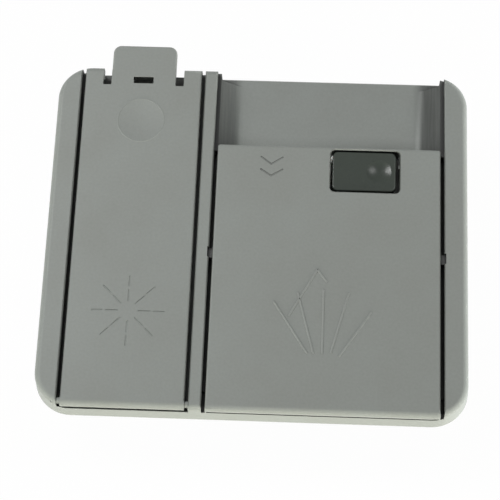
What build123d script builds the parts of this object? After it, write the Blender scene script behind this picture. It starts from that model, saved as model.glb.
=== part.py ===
from build123d import *
import os
from math import cos, radians, sin, sqrt, tan

# Dishwasher detergent dispenser, in millimetres.
# The origin is the middle of the door screws, on the plane where the flange seats on the door.
# +X runs along the bezel, +Y points to the pull tab, +Z comes out of the front face.

# Bezel
BEZEL_W = 180.4
BEZEL_L = 155.4
BEZEL_Z = 12.5
BEZEL_CORNER = 14.7
BEZEL_DRAFT = 5.0
EDGE_ROUND = 2.4
COLUMN_W = 9.8
RAIL_X = -22.8
RAIL_W = 5.4
RIM_CHAMFER = 0.5
LIP_Z = 8.4
BACK_Z = -30.0
WALL = 2.2

# Clearances
SIDE_GAP = 1.6
MOVE_GAP = 0.4
RUN_GAP = 0.06
SEAT_GAP = 0.3

# Door seat
SCREW_INSET_X = 5.9
SCREW_INSET_Y = 15.7
SCREW_R = 1.6
SCREW_DEPTH = 7.0
GASKET_INSET = 1.6
GASKET_W = 2.8
GASKET_SEAT = 0.8
GASKET_PROUD = 0.9

# Rinse-aid flap
PANEL_T = 2.6
PANEL_ROUND = 0.8
SKIRT_T = 1.6
FLAP_SKIRT = 2.6
DECK_Z = 6.0
TAB_W = 28.5
TAB_REACH = 11.0
TAB_CORNER = 3.5
NOTCH_W = 3.7
NOTCH_L = 8.4
LATCH_SLOT_W = 8.9
LATCH_SLOT_L = 3.2
LATCH_SLOT_INSET = 5.9
POCKET_Z = 2.2
POCKET_SIDE = 1.0
PRESS_INSET = 25.3
PRESS_R = 10.2
PRESS_RISE = 0.2
PRESS_RIDGE = 0.6
PRESS_DISH = 0.3
HINGE_PIN_R = 1.3
HINGE_PIN_GRIP = 2.0
FILLER_R = 8.0
FILLER_COLLAR = 2.2
FILLER_RISE = 1.0
PLUG_GAP = 0.8
PLUG_REACH = 2.5
FILLER_SEAL_T = 1.9
FLAP_RIB_T = 1.4
FLAP_RIB_Z = 2.0

# Detergent lid
LID_TOP_Y = 42.1
LID_TOP_ROUND = 1.2
LID_SKIRT = 1.5
LUG_Y = -8.0
FOOT_LUG_INSET = 11.7
LUG_L = 4.2
LUG_T = 1.2
LUG_GRIP = 1.5
GUIDE_END = 8.2
GUIDE_NOTCH = 0.7
LID_FOOT_SHIFT = (-7.65, 9.15)
LID_FOOT_W = 5.6
LID_GUIDE_DEPTH = 4.5
LID_RIB_T = 1.4
LID_RIB_Z = 1.4

# Ramp above the lid
RAMP_TOP_Z = 2.0
RAMP_SLOPE = 0.03
RAMP_FLARE = 1.29
RAMP_Y = 2.0
RAMP_LEDGE = 1.6
RAMP_LIP = 2.7
RAMP_LIP_ROUND = 1.8
RAMP_FILLET = 5.0
DRAIN_W = 3.6

# Detergent cup
CUP_INSET = 14.2
CUP_FOOT = 11.7
CUP_Y1 = -10.0
CUP_CORNER = 8.0
CUP_FLOOR_Z = -18.0
CUP_DRAFT = 3.0
CUP_FILLET = 4.0
CUP_DECK_Z = 3.5
RIM_W = 2.2
RIM_H = 2.0
RIB_T = 1.8
CUP_RIBS = 3

# Lid liner and gasket
LINER_MARGIN = 2.3
LINER_Z = 2.7
LID_GASKET_W = 2.4
LID_GASKET_SEAT = 0.4

# Release button
BUTTON_INSET_X = 32.8
BUTTON_INSET_Y = 11.1
BUTTON_W = 27.6
BUTTON_SIDE_GAP = 0.8
BUTTON_L = 18.2
BUTTON_T = 3.0
BUTTON_SINK = 0.4
BUTTON_CORNER = 2.5
BUTTON_ROUND = 0.6
WINDOW_W = 30.0
WINDOW_L = 19.6
WINDOW_CORNER = 2.0
SNAP_SPOTS = ((-1, 4.8), (1, 2.5))
SNAP_W = 0.45
SNAP_L = 1.6
SNAP_SINK = 0.6
DISH_SHIFT = 5.9
DISH_R = 5.5
DISH_DEPTH = 0.9
ROCKER_SHIFT = 1.0
ROCKER_R = 1.1
ROCKER_BAR_R = 1.5
ROCKER_GRIP = 0.7
WELL_T = 1.3
WELL_Z = 6.4
SHELF_T = 1.2
SHELF_SHIFT = 5.0
BUTTON_SPRING_SHIFT = 11.0
BUTTON_SPRING_R = 2.0
BUTTON_WIRE_R = 0.25
BUTTON_TURNS = 4
HOOK_W = 2.4
HOOK_SHIFT = 3.0
HOOK_STEM = 1.5
HOOK_NOSE = 1.0
HOOK_NOSE_H = 2.0
HOOK_Z = 3.0

# Turning catch
ROTOR_R = 7.0
ROTOR_RIM = 2.6
ROTOR_T = 2.6
ROTOR_RIM_H = 2.3
ROTOR_ARC = 64.0
ROTOR_SEAT_Z = -0.6
SHAFT_R = 3.0
SHAFT_BOSS_R = 6.0
SHAFT_BOSS_Z = -6.0
ORING_R = 0.8
CRANK_R = 6.0
CRANK_PIN_R = 1.5
CRANK_T = 2.5
CRANK_PAD = 2.0
CLIP_T = 0.7
CLIP_W = 1.2
CLIP_GROOVE = 0.5
SHAFT_TAIL = 0.8
CATCH_TURN = 90.0

# Solenoid
COIL_Z = -18.5
COIL_INSET = 17.4
COIL_L = 19.0
COIL_R = 9.8
BOBBIN_T = 1.2
BOBBIN_W = 20.0
BOBBIN_WALL = 0.8
PLUNGER_R = 5.0
PLUNGER_L = 22.0
PLUNGER_COLLAR = 2.0
PLUNGER_COLLAR_T = 1.5
FRAME_T = 2.0
FRAME_W = 24.0
FRAME_REACH = 10.5
FRAME_SCREW_X = 6.0
FRAME_SCREW_Y = 9.2
FRAME_SCREW_R = 1.2
FRAME_HEAD_R = 2.6
FRAME_HEAD_T = 1.8
FRAME_BOSS_R = 3.6
TERMINAL_W = 4.8
TERMINAL_T = 0.8
TERMINAL_L = 8.0
PLUNGER_WIRE_R = 0.4
PLUNGER_TURNS = 4
LINK_T = 3.0
LINK_EDGE = 2.4
LINK_TONGUE_W = 7.0
LINK_TONGUE = 6.0
LINK_PIN_R = 1.25
LINK_GAP = 0.25

# Rinse-aid tank and dosing valve
TANK_INSET = 2.9
TANK_FOOT = 17.7
TANK_HEAD = 7.2
TANK_CORNER = 7.0
TANK_RIM = 1.2
TANK_RIM_T = 2.0
VALVE_SEAT_R = 3.0
CHAMBER_R = 7.0
CHAMBER_L = 19.0
CAP_T = 2.2
CAP_SPIGOT = 2.5
ROD_R = 1.5
ROD_GRIP = 3.0
VALVE_R = 5.2
VALVE_T = 2.5
VALVE_WIRE_R = 0.35
VALVE_TURNS = 4
SPOUT_R = 1.5
SPOUT_WALL = 1.2
SPOUT_X = 6.6
ROD_ORING_R = 0.7

# Level float and its switch
FLOAT_ROD_R = 2.0
FLOAT_ROD_INSET = 16.8
FLOAT_ROD_Z = -14.0
FLOAT_FOOT = 10.0
FLOAT_L = 24.0
FLOAT_R = 8.0
FLOAT_TRAVEL = 22.0
FLOAT_BRACKET_T = 2.0
FLOAT_BRACKET_W = 8.0
MAGNET_R = 2.5
MAGNET_L = 8.0
SENSOR_SHIFT = 14.0
SENSOR_L = 26.0
SENSOR_W = 8.0
SENSOR_H = 12.0
PIN_W = 2.8
PIN_T = 0.8
PIN_L = 7.0
PIN_PITCH = 5.0

# Values that follow from the sizes above
HALF_W = BEZEL_W / 2
HALF_L = BEZEL_L / 2
DRAFT_RUN = BEZEL_Z * tan(radians(BEZEL_DRAFT))
COLUMN_X = HALF_W - COLUMN_W
RAIL_X0 = RAIL_X - RAIL_W / 2
RAIL_X1 = RAIL_X + RAIL_W / 2
FAR = BEZEL_L
FOOT_L = HALF_L + DRAFT_RUN
RAMP_END = FOOT_L + WALL
PANEL_Z = BEZEL_Z - PANEL_T
SCREW_X = HALF_W - SCREW_INSET_X
SCREW_Y = HALF_L - SCREW_INSET_Y

FLAP_X0 = -COLUMN_X + SIDE_GAP
FLAP_X1 = RAIL_X0 - SIDE_GAP
FLAP_X = (FLAP_X0 + FLAP_X1) / 2
HINGE_Y = EDGE_ROUND - HALF_L
HINGE_Z = BEZEL_Z - EDGE_ROUND
FLAP_SKIRT_Z = PANEL_Z - FLAP_SKIRT
TAB_END = HALF_L + TAB_REACH
NOTCH_Y = HALF_L - NOTCH_L
LATCH_SLOT_Y = HALF_L - LATCH_SLOT_INSET
PRESS_Y = HALF_L - PRESS_INSET
FILLER_Z = DECK_Z + FILLER_RISE
SEAL_Z0 = FILLER_Z + SEAT_GAP
SEAL_Z1 = SEAL_Z0 + FILLER_SEAL_T

LID_X0 = RAIL_X1 + SIDE_GAP
LID_X1 = COLUMN_X - SIDE_GAP
LID_X = (LID_X0 + LID_X1) / 2
LID_SKIRT_Z = PANEL_Z - LID_SKIRT
LEDGE_Z = BEZEL_Z - LID_GUIDE_DEPTH
LUG_Z0 = LEDGE_Z + 2 * MOVE_GAP
LUG_Z1 = LUG_Z0 + LUG_T
GUIDE_Z0 = LUG_Z0 - SEAT_GAP
GUIDE_Z1 = LUG_Z1 + SEAT_GAP
GUIDE_DEPTH = LUG_GRIP + SEAT_GAP
GUIDE_Y0 = LUG_Y - LUG_L / 2 - MOVE_GAP
GUIDE_Y1 = HALF_L - GUIDE_END
FOOT_LUG_Y = FOOT_LUG_INSET - HALF_L
FOOT_LUG_Z0 = CUP_DECK_Z + 2 * MOVE_GAP
FOOT_LUG_Z1 = FOOT_LUG_Z0 + LUG_T
LUG_SHIFT = FOOT_LUG_Y - LUG_Y

CUP_X0 = RAIL_X1 + CUP_INSET
CUP_X1 = COLUMN_X - CUP_INSET
CUP_X = (CUP_X0 + CUP_X1) / 2
CUP_Y0 = CUP_FOOT - HALF_L
CUP_Y = (CUP_Y0 + CUP_Y1) / 2
CUP_W = CUP_X1 - CUP_X0
CUP_L = CUP_Y1 - CUP_Y0
RIM_Z = CUP_DECK_Z + RIM_H
LINER_Z0 = PANEL_Z - LINER_Z
LID_GASKET_Z0 = RIM_Z + SEAT_GAP

BUTTON_X = LID_X1 - BUTTON_INSET_X
BUTTON_Y = LID_TOP_Y - BUTTON_INSET_Y
BUTTON_X0 = BUTTON_X - WINDOW_W / 2 + BUTTON_SIDE_GAP
BUTTON_Z1 = BEZEL_Z - BUTTON_SINK
BUTTON_Z0 = BUTTON_Z1 - BUTTON_T
DISH_X = BUTTON_X + DISH_SHIFT
ROCKER_X = BUTTON_X + ROCKER_SHIFT
ROCKER_Z = BUTTON_Z0 + SEAT_GAP
SHELF_X = BUTTON_X + SHELF_SHIFT
BUTTON_SPRING_X = BUTTON_X + BUTTON_SPRING_SHIFT
SHELF_Z0 = WELL_Z - SHELF_T
HOOK_X = BUTTON_X0 + HOOK_W / 2
HOOK_Y = BUTTON_Y - HOOK_SHIFT
HOOK_FRONT = HOOK_Y + HOOK_NOSE

LATCH_X = HOOK_X
LATCH_Y = HOOK_FRONT + SEAT_GAP + ROTOR_R
ROTOR_Z0 = ROTOR_SEAT_Z + SEAT_GAP
ROTOR_Z1 = ROTOR_Z0 + ROTOR_T
CRANK_Z1 = SHAFT_BOSS_Z - SEAT_GAP
CRANK_Z0 = CRANK_Z1 - CRANK_T
CLIP_Z0 = CRANK_Z0 - CLIP_T
SHAFT_END_Z = CLIP_Z0 - SHAFT_TAIL
HALF_TURN = radians(CATCH_TURN / 2)
CRANK_OUT = CRANK_R * sin(HALF_TURN)
CRANK_DROP = CRANK_R * cos(HALF_TURN)
STROKE = 2 * CRANK_OUT
PIN_X = LATCH_X + CRANK_OUT
PIN_Y = LATCH_Y - CRANK_DROP

PULL_Y = LATCH_Y - (CRANK_R + CRANK_DROP) / 2
COIL_X = COLUMN_X - COIL_INSET
COIL_X0 = COIL_X - COIL_L / 2
COIL_X1 = COIL_X + COIL_L / 2
FRAME_X0 = COIL_X0 - BOBBIN_T - FRAME_T
FRAME_X1 = COIL_X1 + BOBBIN_T + FRAME_T
FRAME_Z1 = COIL_Z + FRAME_REACH + FRAME_T
FRAME_Z0 = COIL_Z - FRAME_REACH
LINK_Z0 = COIL_Z - LINK_T / 2
LINK_Z1 = COIL_Z + LINK_T / 2
LINK_X0 = PIN_X - CRANK_PIN_R - LINK_GAP - LINK_EDGE
LINK_X1 = PIN_X + CRANK_PIN_R + LINK_GAP + LINK_EDGE
PLUNGER_X0 = LINK_X1 + MOVE_GAP
PLUNGER_X1 = PLUNGER_X0 + PLUNGER_L
LINK_PIN_X = PLUNGER_X0 + LINK_TONGUE / 2

TANK_X0 = -COLUMN_X + TANK_INSET
TANK_X1 = RAIL_X1 - TANK_INSET - TANK_RIM
TANK_Y0 = TANK_FOOT - HALF_L
TANK_Y1 = HALF_L - TANK_HEAD
CHAMBER_X1 = TANK_X1 + CHAMBER_L
SPOUT_AXIS_X = TANK_X1 + SPOUT_X
VALVE_X0 = TANK_X1 + SEAT_GAP + STROKE
VALVE_X1 = VALVE_X0 + VALVE_T
FLOAT_ROD_X = TANK_X1 - FLOAT_ROD_INSET
FLOAT_Y0 = TANK_Y0 + FLOAT_FOOT
FLOAT_Y1 = FLOAT_Y0 + FLOAT_L + FLOAT_TRAVEL
SENSOR_Y = FLOAT_Y0 + SENSOR_SHIFT


def block(x0, x1, y0, y1, z0, z1):
    """Square-cornered block between two corners."""
    place = Pos((x0 + x1) / 2, (y0 + y1) / 2, (z0 + z1) / 2)
    return place * Box(x1 - x0, y1 - y0, z1 - z0)


def pad(x0, x1, y0, y1, z0, z1, corner):
    """Block with its upright edges rounded."""
    place = Pos((x0 + x1) / 2, (y0 + y1) / 2, z0)
    return place * extrude(RectangleRounded(x1 - x0, y1 - y0, corner), z1 - z0)


def rod_x(r, x0, x1, y, z):
    """Cylinder along X."""
    return Pos((x0 + x1) / 2, y, z) * Rot(0, 90, 0) * Cylinder(r, x1 - x0)


def rod_y(r, y0, y1, x, z):
    """Cylinder along Y."""
    return Pos(x, (y0 + y1) / 2, z) * Rot(90, 0, 0) * Cylinder(r, y1 - y0)


def rod_z(r, z0, z1, x, y):
    """Cylinder along Z."""
    return Pos(x, y, (z0 + z1) / 2) * Cylinder(r, z1 - z0)


def prism_y(points, y0, y1):
    """Closed XZ outline drawn along Y."""
    plane = Plane(origin=(0, y0, 0), x_dir=(1, 0, 0), z_dir=(0, -1, 0))
    return extrude(plane * make_face(Polyline(*points, close=True)), -(y1 - y0))


def dish_ball(r, depth):
    """Radius of the ball that presses a dish of this radius and depth into a flat face."""
    return (r**2 + depth**2) / (2 * depth)


def coil(mean_r, wire_r, length, turns):
    """Compression spring that stands on the XY plane along +Z."""
    run = length - 2 * wire_r
    path = Pos(0, 0, wire_r) * Helix(run / turns, run, mean_r)
    section = Plane(origin=path @ 0, z_dir=path % 0) * Circle(wire_r)
    return sweep(section, path=path, is_frenet=True)


def bezel_form():
    """Outer form of the bezel: drafted sides, rounded corners and a rounded front edge."""
    foot = RectangleRounded(BEZEL_W + 2 * DRAFT_RUN, BEZEL_L + 2 * DRAFT_RUN, BEZEL_CORNER + DRAFT_RUN)
    front = Plane.XY.offset(BEZEL_Z) * RectangleRounded(BEZEL_W, BEZEL_L, BEZEL_CORNER)
    body = loft([foot, front], ruled=True)
    return fillet(body.faces().sort_by(Axis.Z)[-1].edges(), EDGE_ROUND)


def channel(x0, x1, z0, y0, y1):
    """Cutter for a channel in the front face, flared by a small chamfer at its mouth."""
    top = BEZEL_Z + WALL
    outline = [
        (x0, z0),
        (x1, z0),
        (x1, BEZEL_Z - RIM_CHAMFER),
        (x1 + RIM_CHAMFER, BEZEL_Z),
        (x1 + RIM_CHAMFER, top),
        (x0 - RIM_CHAMFER, top),
        (x0 - RIM_CHAMFER, BEZEL_Z),
        (x0, BEZEL_Z - RIM_CHAMFER),
    ]
    return prism_y(outline, y0, y1)


def ramp_floor(y):
    """Height of the ramp's floor at one place along Y."""
    return RAMP_TOP_Z - RAMP_SLOPE * (HALF_L - y)


def ramp_section(y, wall):
    """Section of the ramp recess at one place along Y, grown outwards by a wall."""
    floor = ramp_floor(y) - wall
    side = wall * sqrt(1 + RAMP_FLARE**2)
    left = RAIL_X1 + RAMP_LEDGE - side
    right = COLUMN_X - RAMP_LEDGE + side
    run = RAMP_FLARE * (LEDGE_Z - floor)
    points = [(left, LEDGE_Z), (left + run, floor), (right - run, floor), (right, LEDGE_Z)]
    plane = Plane(origin=(0, y, 0), x_dir=(1, 0, 0), z_dir=(0, -1, 0))
    return plane * make_face(Polyline(*points, close=True))


def ramp_form(y0, y1, wall):
    """Ramp recess as a solid, with soft corners between floor and side walls."""
    body = loft([ramp_section(y0, wall), ramp_section(y1, wall)], ruled=True)
    floor = body.faces().sort_by(Axis.Z)[0]
    sides = [e for e in floor.edges() if e.bounding_box().size.Y > e.bounding_box().size.X]
    return fillet(sides, RAMP_FILLET)


def ramp_mouth():
    """Cutter for the ramp's open end, where the floor runs out at full width over a rounded lip."""
    x0 = RAIL_X1 + RAMP_LEDGE
    y0 = HALF_L - RAMP_LIP
    lip = (FOOT_L, ramp_floor(FOOT_L))
    points = [
        (y0, ramp_floor(y0)),
        lip,
        (FOOT_L, 0),
        (RAMP_END, 0),
        (RAMP_END, LEDGE_Z),
        (y0, LEDGE_Z),
    ]
    outline = make_face(Polyline(*points, close=True))
    outline = fillet(outline.vertices().sort_by_distance(lip)[0], RAMP_LIP_ROUND)
    plane = Plane(origin=(x0, 0, 0), x_dir=(0, 1, 0), z_dir=(1, 0, 0))
    return extrude(plane * outline, COLUMN_X - RAMP_LEDGE - x0)


def cup_form(wall):
    """Detergent cup as a solid with drafted walls, grown outwards by a wall."""
    top = CUP_DECK_Z if wall else RIM_Z + WALL
    bottom = CUP_FLOOR_Z - wall
    run = (top - bottom) * tan(radians(CUP_DRAFT))
    spread = 2 * wall
    mouth = RectangleRounded(CUP_W + spread, CUP_L + spread, CUP_CORNER + wall)
    base = RectangleRounded(CUP_W + spread - 2 * run, CUP_L + spread - 2 * run, CUP_CORNER + wall - run)
    mouth = Pos(CUP_X, CUP_Y, top) * mouth
    base = Pos(CUP_X, CUP_Y, bottom) * base
    body = loft([base, mouth], ruled=True)
    return fillet(body.faces().sort_by(Axis.Z)[0].edges(), CUP_FILLET)


def cup_ribs():
    """Crossed ribs on the cup's back that reach down to the rear plane."""
    inset = CUP_CORNER
    x0 = CUP_X0 + inset
    x1 = CUP_X1 - inset
    y0 = CUP_Y0 + inset
    y1 = CUP_Y1 - inset
    z1 = CUP_FLOOR_Z - WALL / 2
    ribs = []
    for i in range(CUP_RIBS):
        share = i / (CUP_RIBS - 1)
        x = x0 + share * (x1 - x0)
        y = y0 + share * (y1 - y0)
        ribs.append(block(x - RIB_T / 2, x + RIB_T / 2, y0, y1, BACK_Z, z1))
        ribs.append(block(x0, x1, y - RIB_T / 2, y + RIB_T / 2, BACK_Z, z1))
    return ribs


def screw_places():
    """The four door screws' places."""
    return [(x, y) for x in (-SCREW_X, SCREW_X) for y in (-SCREW_Y, SCREW_Y)]


def frame_screw_places():
    """The two places where the solenoid frame is screwed to the housing."""
    return [(COIL_X + s * FRAME_SCREW_X, PULL_Y - s * FRAME_SCREW_Y) for s in (-1, 1)]


def gasket_ring(inset, width, z0, z1):
    """Ring along the flange's outline, at an inset from its outer edge."""
    w = BEZEL_W + 2 * DRAFT_RUN - 2 * inset
    l = BEZEL_L + 2 * DRAFT_RUN - 2 * inset
    r = BEZEL_CORNER + DRAFT_RUN - inset
    ring = RectangleRounded(w, l, r) - RectangleRounded(w - 2 * width, l - 2 * width, r - width)
    return Pos(0, 0, z0) * extrude(ring, z1 - z0)


def housing_front():
    """Bezel with the flap's channel and deck, the lid's channel and guides, and the plinth lips."""
    body = bezel_form()
    body -= channel(-COLUMN_X, RAIL_X0, LIP_Z, -FAR, HINGE_Y)
    body -= channel(-COLUMN_X, RAIL_X0, DECK_Z, HINGE_Y, FAR)
    body -= rod_x(EDGE_ROUND + MOVE_GAP, -COLUMN_X, RAIL_X0, HINGE_Y, HINGE_Z)
    pin_r = HINGE_PIN_R + RUN_GAP
    reach = HINGE_PIN_GRIP + SEAT_GAP
    body -= rod_x(pin_r, -COLUMN_X - reach, -COLUMN_X, HINGE_Y, HINGE_Z)
    body -= rod_x(pin_r, RAIL_X0, RAIL_X0 + reach, HINGE_Y, HINGE_Z)
    body -= channel(RAIL_X1, COLUMN_X, LIP_Z, -FAR, HINGE_Y)
    body -= channel(RAIL_X1, COLUMN_X, LEDGE_Z, HINGE_Y, FAR)
    return body - lid_guides()


def lid_guides():
    """Cutters for the guides of the lid's lugs: high for the upper pair, low for the foot pair."""
    x0 = RAIL_X1 - GUIDE_DEPTH
    x1 = COLUMN_X + GUIDE_DEPTH
    z0 = FOOT_LUG_Z0 - SEAT_GAP
    z1 = FOOT_LUG_Z1 + SEAT_GAP
    notch_y1 = LUG_Y + LUG_L / 2
    high = block(x0, x1, GUIDE_Y0, GUIDE_Y1, GUIDE_Z0, GUIDE_Z1)
    low = block(x0, x1, GUIDE_Y0 + LUG_SHIFT, GUIDE_Y1 + LUG_SHIFT, z0, z1)
    notch = block(RAIL_X1 - GUIDE_NOTCH, COLUMN_X + GUIDE_NOTCH, GUIDE_Y0, notch_y1, GUIDE_Z0, BEZEL_Z)
    return [high, low, notch]


def housing_rear(body):
    """Adds the ramp, the cup with its rim, the filler and the drains to the bezel."""
    body += ramp_form(RAMP_Y - WALL, TANK_Y1, WALL)
    body += cup_form(WALL)
    body -= block(RAIL_X1, COLUMN_X, HINGE_Y, RAMP_Y, CUP_DECK_Z, LEDGE_Z)
    for x0 in (RAIL_X1, COLUMN_X - DRAIN_W):
        body -= block(x0, x0 + DRAIN_W, HINGE_Y, LID_TOP_Y - LID_SKIRT, CUP_DECK_Z, LEDGE_Z)
    body -= ramp_form(RAMP_Y, RAMP_END, 0)
    body -= ramp_mouth()
    rim = RectangleRounded(CUP_W + 2 * RIM_W, CUP_L + 2 * RIM_W, CUP_CORNER + RIM_W)
    body += Pos(CUP_X, CUP_Y, CUP_DECK_Z) * extrude(rim, RIM_H)
    body -= cup_form(0)
    body += cup_ribs()
    inner = (TANK_X0 + WALL, TANK_X1 - WALL, TANK_Y0 + WALL, TANK_Y1 - WALL)
    body -= pad(*inner, -WALL, DECK_Z - WALL, TANK_CORNER - WALL)
    body += rod_z(FILLER_R + FILLER_COLLAR, DECK_Z, FILLER_Z, FLAP_X, PRESS_Y)
    body -= rod_z(FILLER_R, 0, BEZEL_Z, FLAP_X, PRESS_Y)
    return body


def make_housing():
    """Front housing: one moulding from the bezel to the cup's rear ribs."""
    body = housing_rear(housing_front())
    pocket = TAB_W / 2 + NOTCH_W + POCKET_SIDE
    body -= block(FLAP_X - pocket, FLAP_X + pocket, TANK_Y1, FAR, POCKET_Z, DECK_Z)
    post_w = LATCH_SLOT_W / 4
    post_l = LATCH_SLOT_L / 4
    y = LATCH_SLOT_Y
    body += block(FLAP_X - post_w, FLAP_X + post_w, y - post_l, y + post_l, POCKET_Z, PANEL_Z - SIDE_GAP)
    floor = ramp_floor(LATCH_Y) - WALL / 2
    seat_r = ROTOR_R + SEAT_GAP
    body += rod_z(seat_r + WALL, ROTOR_SEAT_Z - WALL, floor, LATCH_X, LATCH_Y)
    body -= rod_z(seat_r, ROTOR_SEAT_Z, BEZEL_Z, LATCH_X, LATCH_Y)
    body += rod_z(SHAFT_BOSS_R, SHAFT_BOSS_Z, ROTOR_SEAT_Z, LATCH_X, LATCH_Y)
    body -= rod_z(SHAFT_R + RUN_GAP, SHAFT_BOSS_Z, ROTOR_SEAT_Z, LATCH_X, LATCH_Y)
    ring_r = SHAFT_R + 2 * ORING_R + 2 * RUN_GAP
    body -= rod_z(ring_r, SHAFT_BOSS_Z, SHAFT_BOSS_Z + 2 * ORING_R + RUN_GAP, LATCH_X, LATCH_Y)
    for x, y in frame_screw_places():
        body += rod_z(FRAME_BOSS_R, FRAME_Z1, floor, x, y) - ramp_form(RAMP_Y, RAMP_END, WALL / 2)
        body -= rod_z(FRAME_SCREW_R, FRAME_Z1, FRAME_Z1 + FRAME_BOSS_R, x, y)
    body -= rod_z(SPOUT_R, 0, CUP_DECK_Z, SPOUT_AXIS_X, PULL_Y)
    for x, y in screw_places():
        body -= rod_z(SCREW_R, 0, SCREW_DEPTH, x, y)
    body -= gasket_ring(GASKET_INSET, GASKET_W, 0, GASKET_SEAT)
    return body


def make_door_gasket():
    """Rubber ring that seals the flange on the door."""
    return gasket_ring(GASKET_INSET + RUN_GAP, GASKET_W - 2 * RUN_GAP, -GASKET_PROUD, GASKET_SEAT)


def make_flap():
    """Rinse-aid flap with its pull tab, hinge barrel, press mark and filler plug."""
    depth = PANEL_T + FLAP_SKIRT
    outline = Pos(FLAP_X, BEZEL_Z - depth / 2) * Rectangle(FLAP_X1 - FLAP_X0, depth)
    outline = fillet(outline.vertices().group_by(Axis.Y)[-1], PANEL_ROUND)
    plane = Plane(origin=(0, HINGE_Y, 0), x_dir=(1, 0, 0), z_dir=(0, -1, 0))
    body = extrude(plane * outline, -FAR) & bezel_form()
    inner_y = HALF_L - SKIRT_T - EDGE_ROUND
    body -= block(FLAP_X0 + SKIRT_T, FLAP_X1 - SKIRT_T, HINGE_Y, inner_y, FLAP_SKIRT_Z, PANEL_Z)
    tab_half = TAB_W / 2
    notch_half = tab_half + NOTCH_W
    body -= block(FLAP_X - notch_half, FLAP_X + notch_half, NOTCH_Y, FAR, 0, PANEL_Z)
    for side in (-1, 1):
        x = FLAP_X + side * (tab_half + NOTCH_W / 2)
        body -= pad(x - NOTCH_W / 2, x + NOTCH_W / 2, NOTCH_Y, FAR, 0, FAR, RIM_CHAMFER)
    tab = pad(FLAP_X - tab_half, FLAP_X + tab_half, NOTCH_Y, TAB_END, PANEL_Z, BEZEL_Z, TAB_CORNER)
    tab += block(FLAP_X - tab_half, FLAP_X + tab_half, NOTCH_Y, HALF_L, PANEL_Z, BEZEL_Z)
    rim = tab.faces().sort_by(Axis.Z)[-1].edges()
    tab = fillet(rim.filter_by_position(Axis.Y, HALF_L, FAR), PANEL_ROUND)
    body += tab
    slot_w = LATCH_SLOT_W / 2
    slot_l = LATCH_SLOT_L / 2
    y = LATCH_SLOT_Y
    body -= pad(FLAP_X - slot_w, FLAP_X + slot_w, y - slot_l, y + slot_l, 0, FAR, RIM_CHAMFER)
    body += rod_x(EDGE_ROUND, FLAP_X0, FLAP_X1, HINGE_Y, HINGE_Z)
    pin = SIDE_GAP + HINGE_PIN_GRIP
    body += rod_x(HINGE_PIN_R, FLAP_X0 - pin, FLAP_X1 + pin, HINGE_Y, HINGE_Z)
    ball = dish_ball(PRESS_R, PRESS_DISH)
    body -= Pos(FLAP_X, PRESS_Y, BEZEL_Z + ball - PRESS_DISH) * Sphere(ball)
    return body + flap_details()


def flap_details():
    """Ring of the press mark on the flap's face, and the filler plug and ribs under it."""
    ring = Circle(PRESS_R + PRESS_RIDGE / 2) - Circle(PRESS_R - PRESS_RIDGE / 2)
    mark = Pos(FLAP_X, PRESS_Y, BEZEL_Z - PRESS_RISE) * extrude(ring, 2 * PRESS_RISE)
    mark = fillet(mark.faces().sort_by(Axis.Z)[-1].edges(), PRESS_RISE / 2)
    shoulder = rod_z(FILLER_R + FILLER_COLLAR, SEAL_Z1, PANEL_Z, FLAP_X, PRESS_Y)
    plug = rod_z(FILLER_R - PLUG_GAP, FILLER_Z - PLUG_REACH, PANEL_Z, FLAP_X, PRESS_Y)
    details = [mark, shoulder, plug]
    rib_z = PANEL_Z - FLAP_RIB_Z
    rib_y1 = PRESS_Y - FILLER_R - FILLER_COLLAR
    for side in (-1, 1):
        x = FLAP_X + side * (FILLER_R + FILLER_COLLAR)
        details.append(block(x - FLAP_RIB_T / 2, x + FLAP_RIB_T / 2, HINGE_Y, rib_y1, rib_z, PANEL_Z))
    return details


def make_filler_seal():
    """Rubber ring on the filler plug, under its shoulder."""
    seal = rod_z(FILLER_R + FILLER_COLLAR, SEAL_Z0, SEAL_Z1, FLAP_X, PRESS_Y)
    return seal - rod_z(FILLER_R - PLUG_GAP, SEAL_Z0, SEAL_Z1, FLAP_X, PRESS_Y)


def lid_shell():
    """Lid panel with rounded edges and a skirt all round."""
    depth = PANEL_T + LID_SKIRT
    across = Pos(LID_X, BEZEL_Z - depth / 2) * Rectangle(LID_X1 - LID_X0, depth)
    across = fillet(across.vertices().group_by(Axis.Y)[-1], PANEL_ROUND)
    plane = Plane(origin=(0, -FAR, 0), x_dir=(1, 0, 0), z_dir=(0, -1, 0))
    body = extrude(plane * across, -(FAR + LID_TOP_Y)) & bezel_form()
    top_edge = body.edges().filter_by(Axis.X).group_by(Axis.Y)[-1].sort_by(Axis.Z)[-1]
    body = fillet(top_edge, LID_TOP_ROUND)
    y0 = HINGE_Y + EDGE_ROUND
    y1 = LID_TOP_Y - WELL_T
    return body - block(LID_X0 + SKIRT_T, LID_X1 - SKIRT_T, y0, y1, LID_SKIRT_Z, PANEL_Z)


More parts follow.
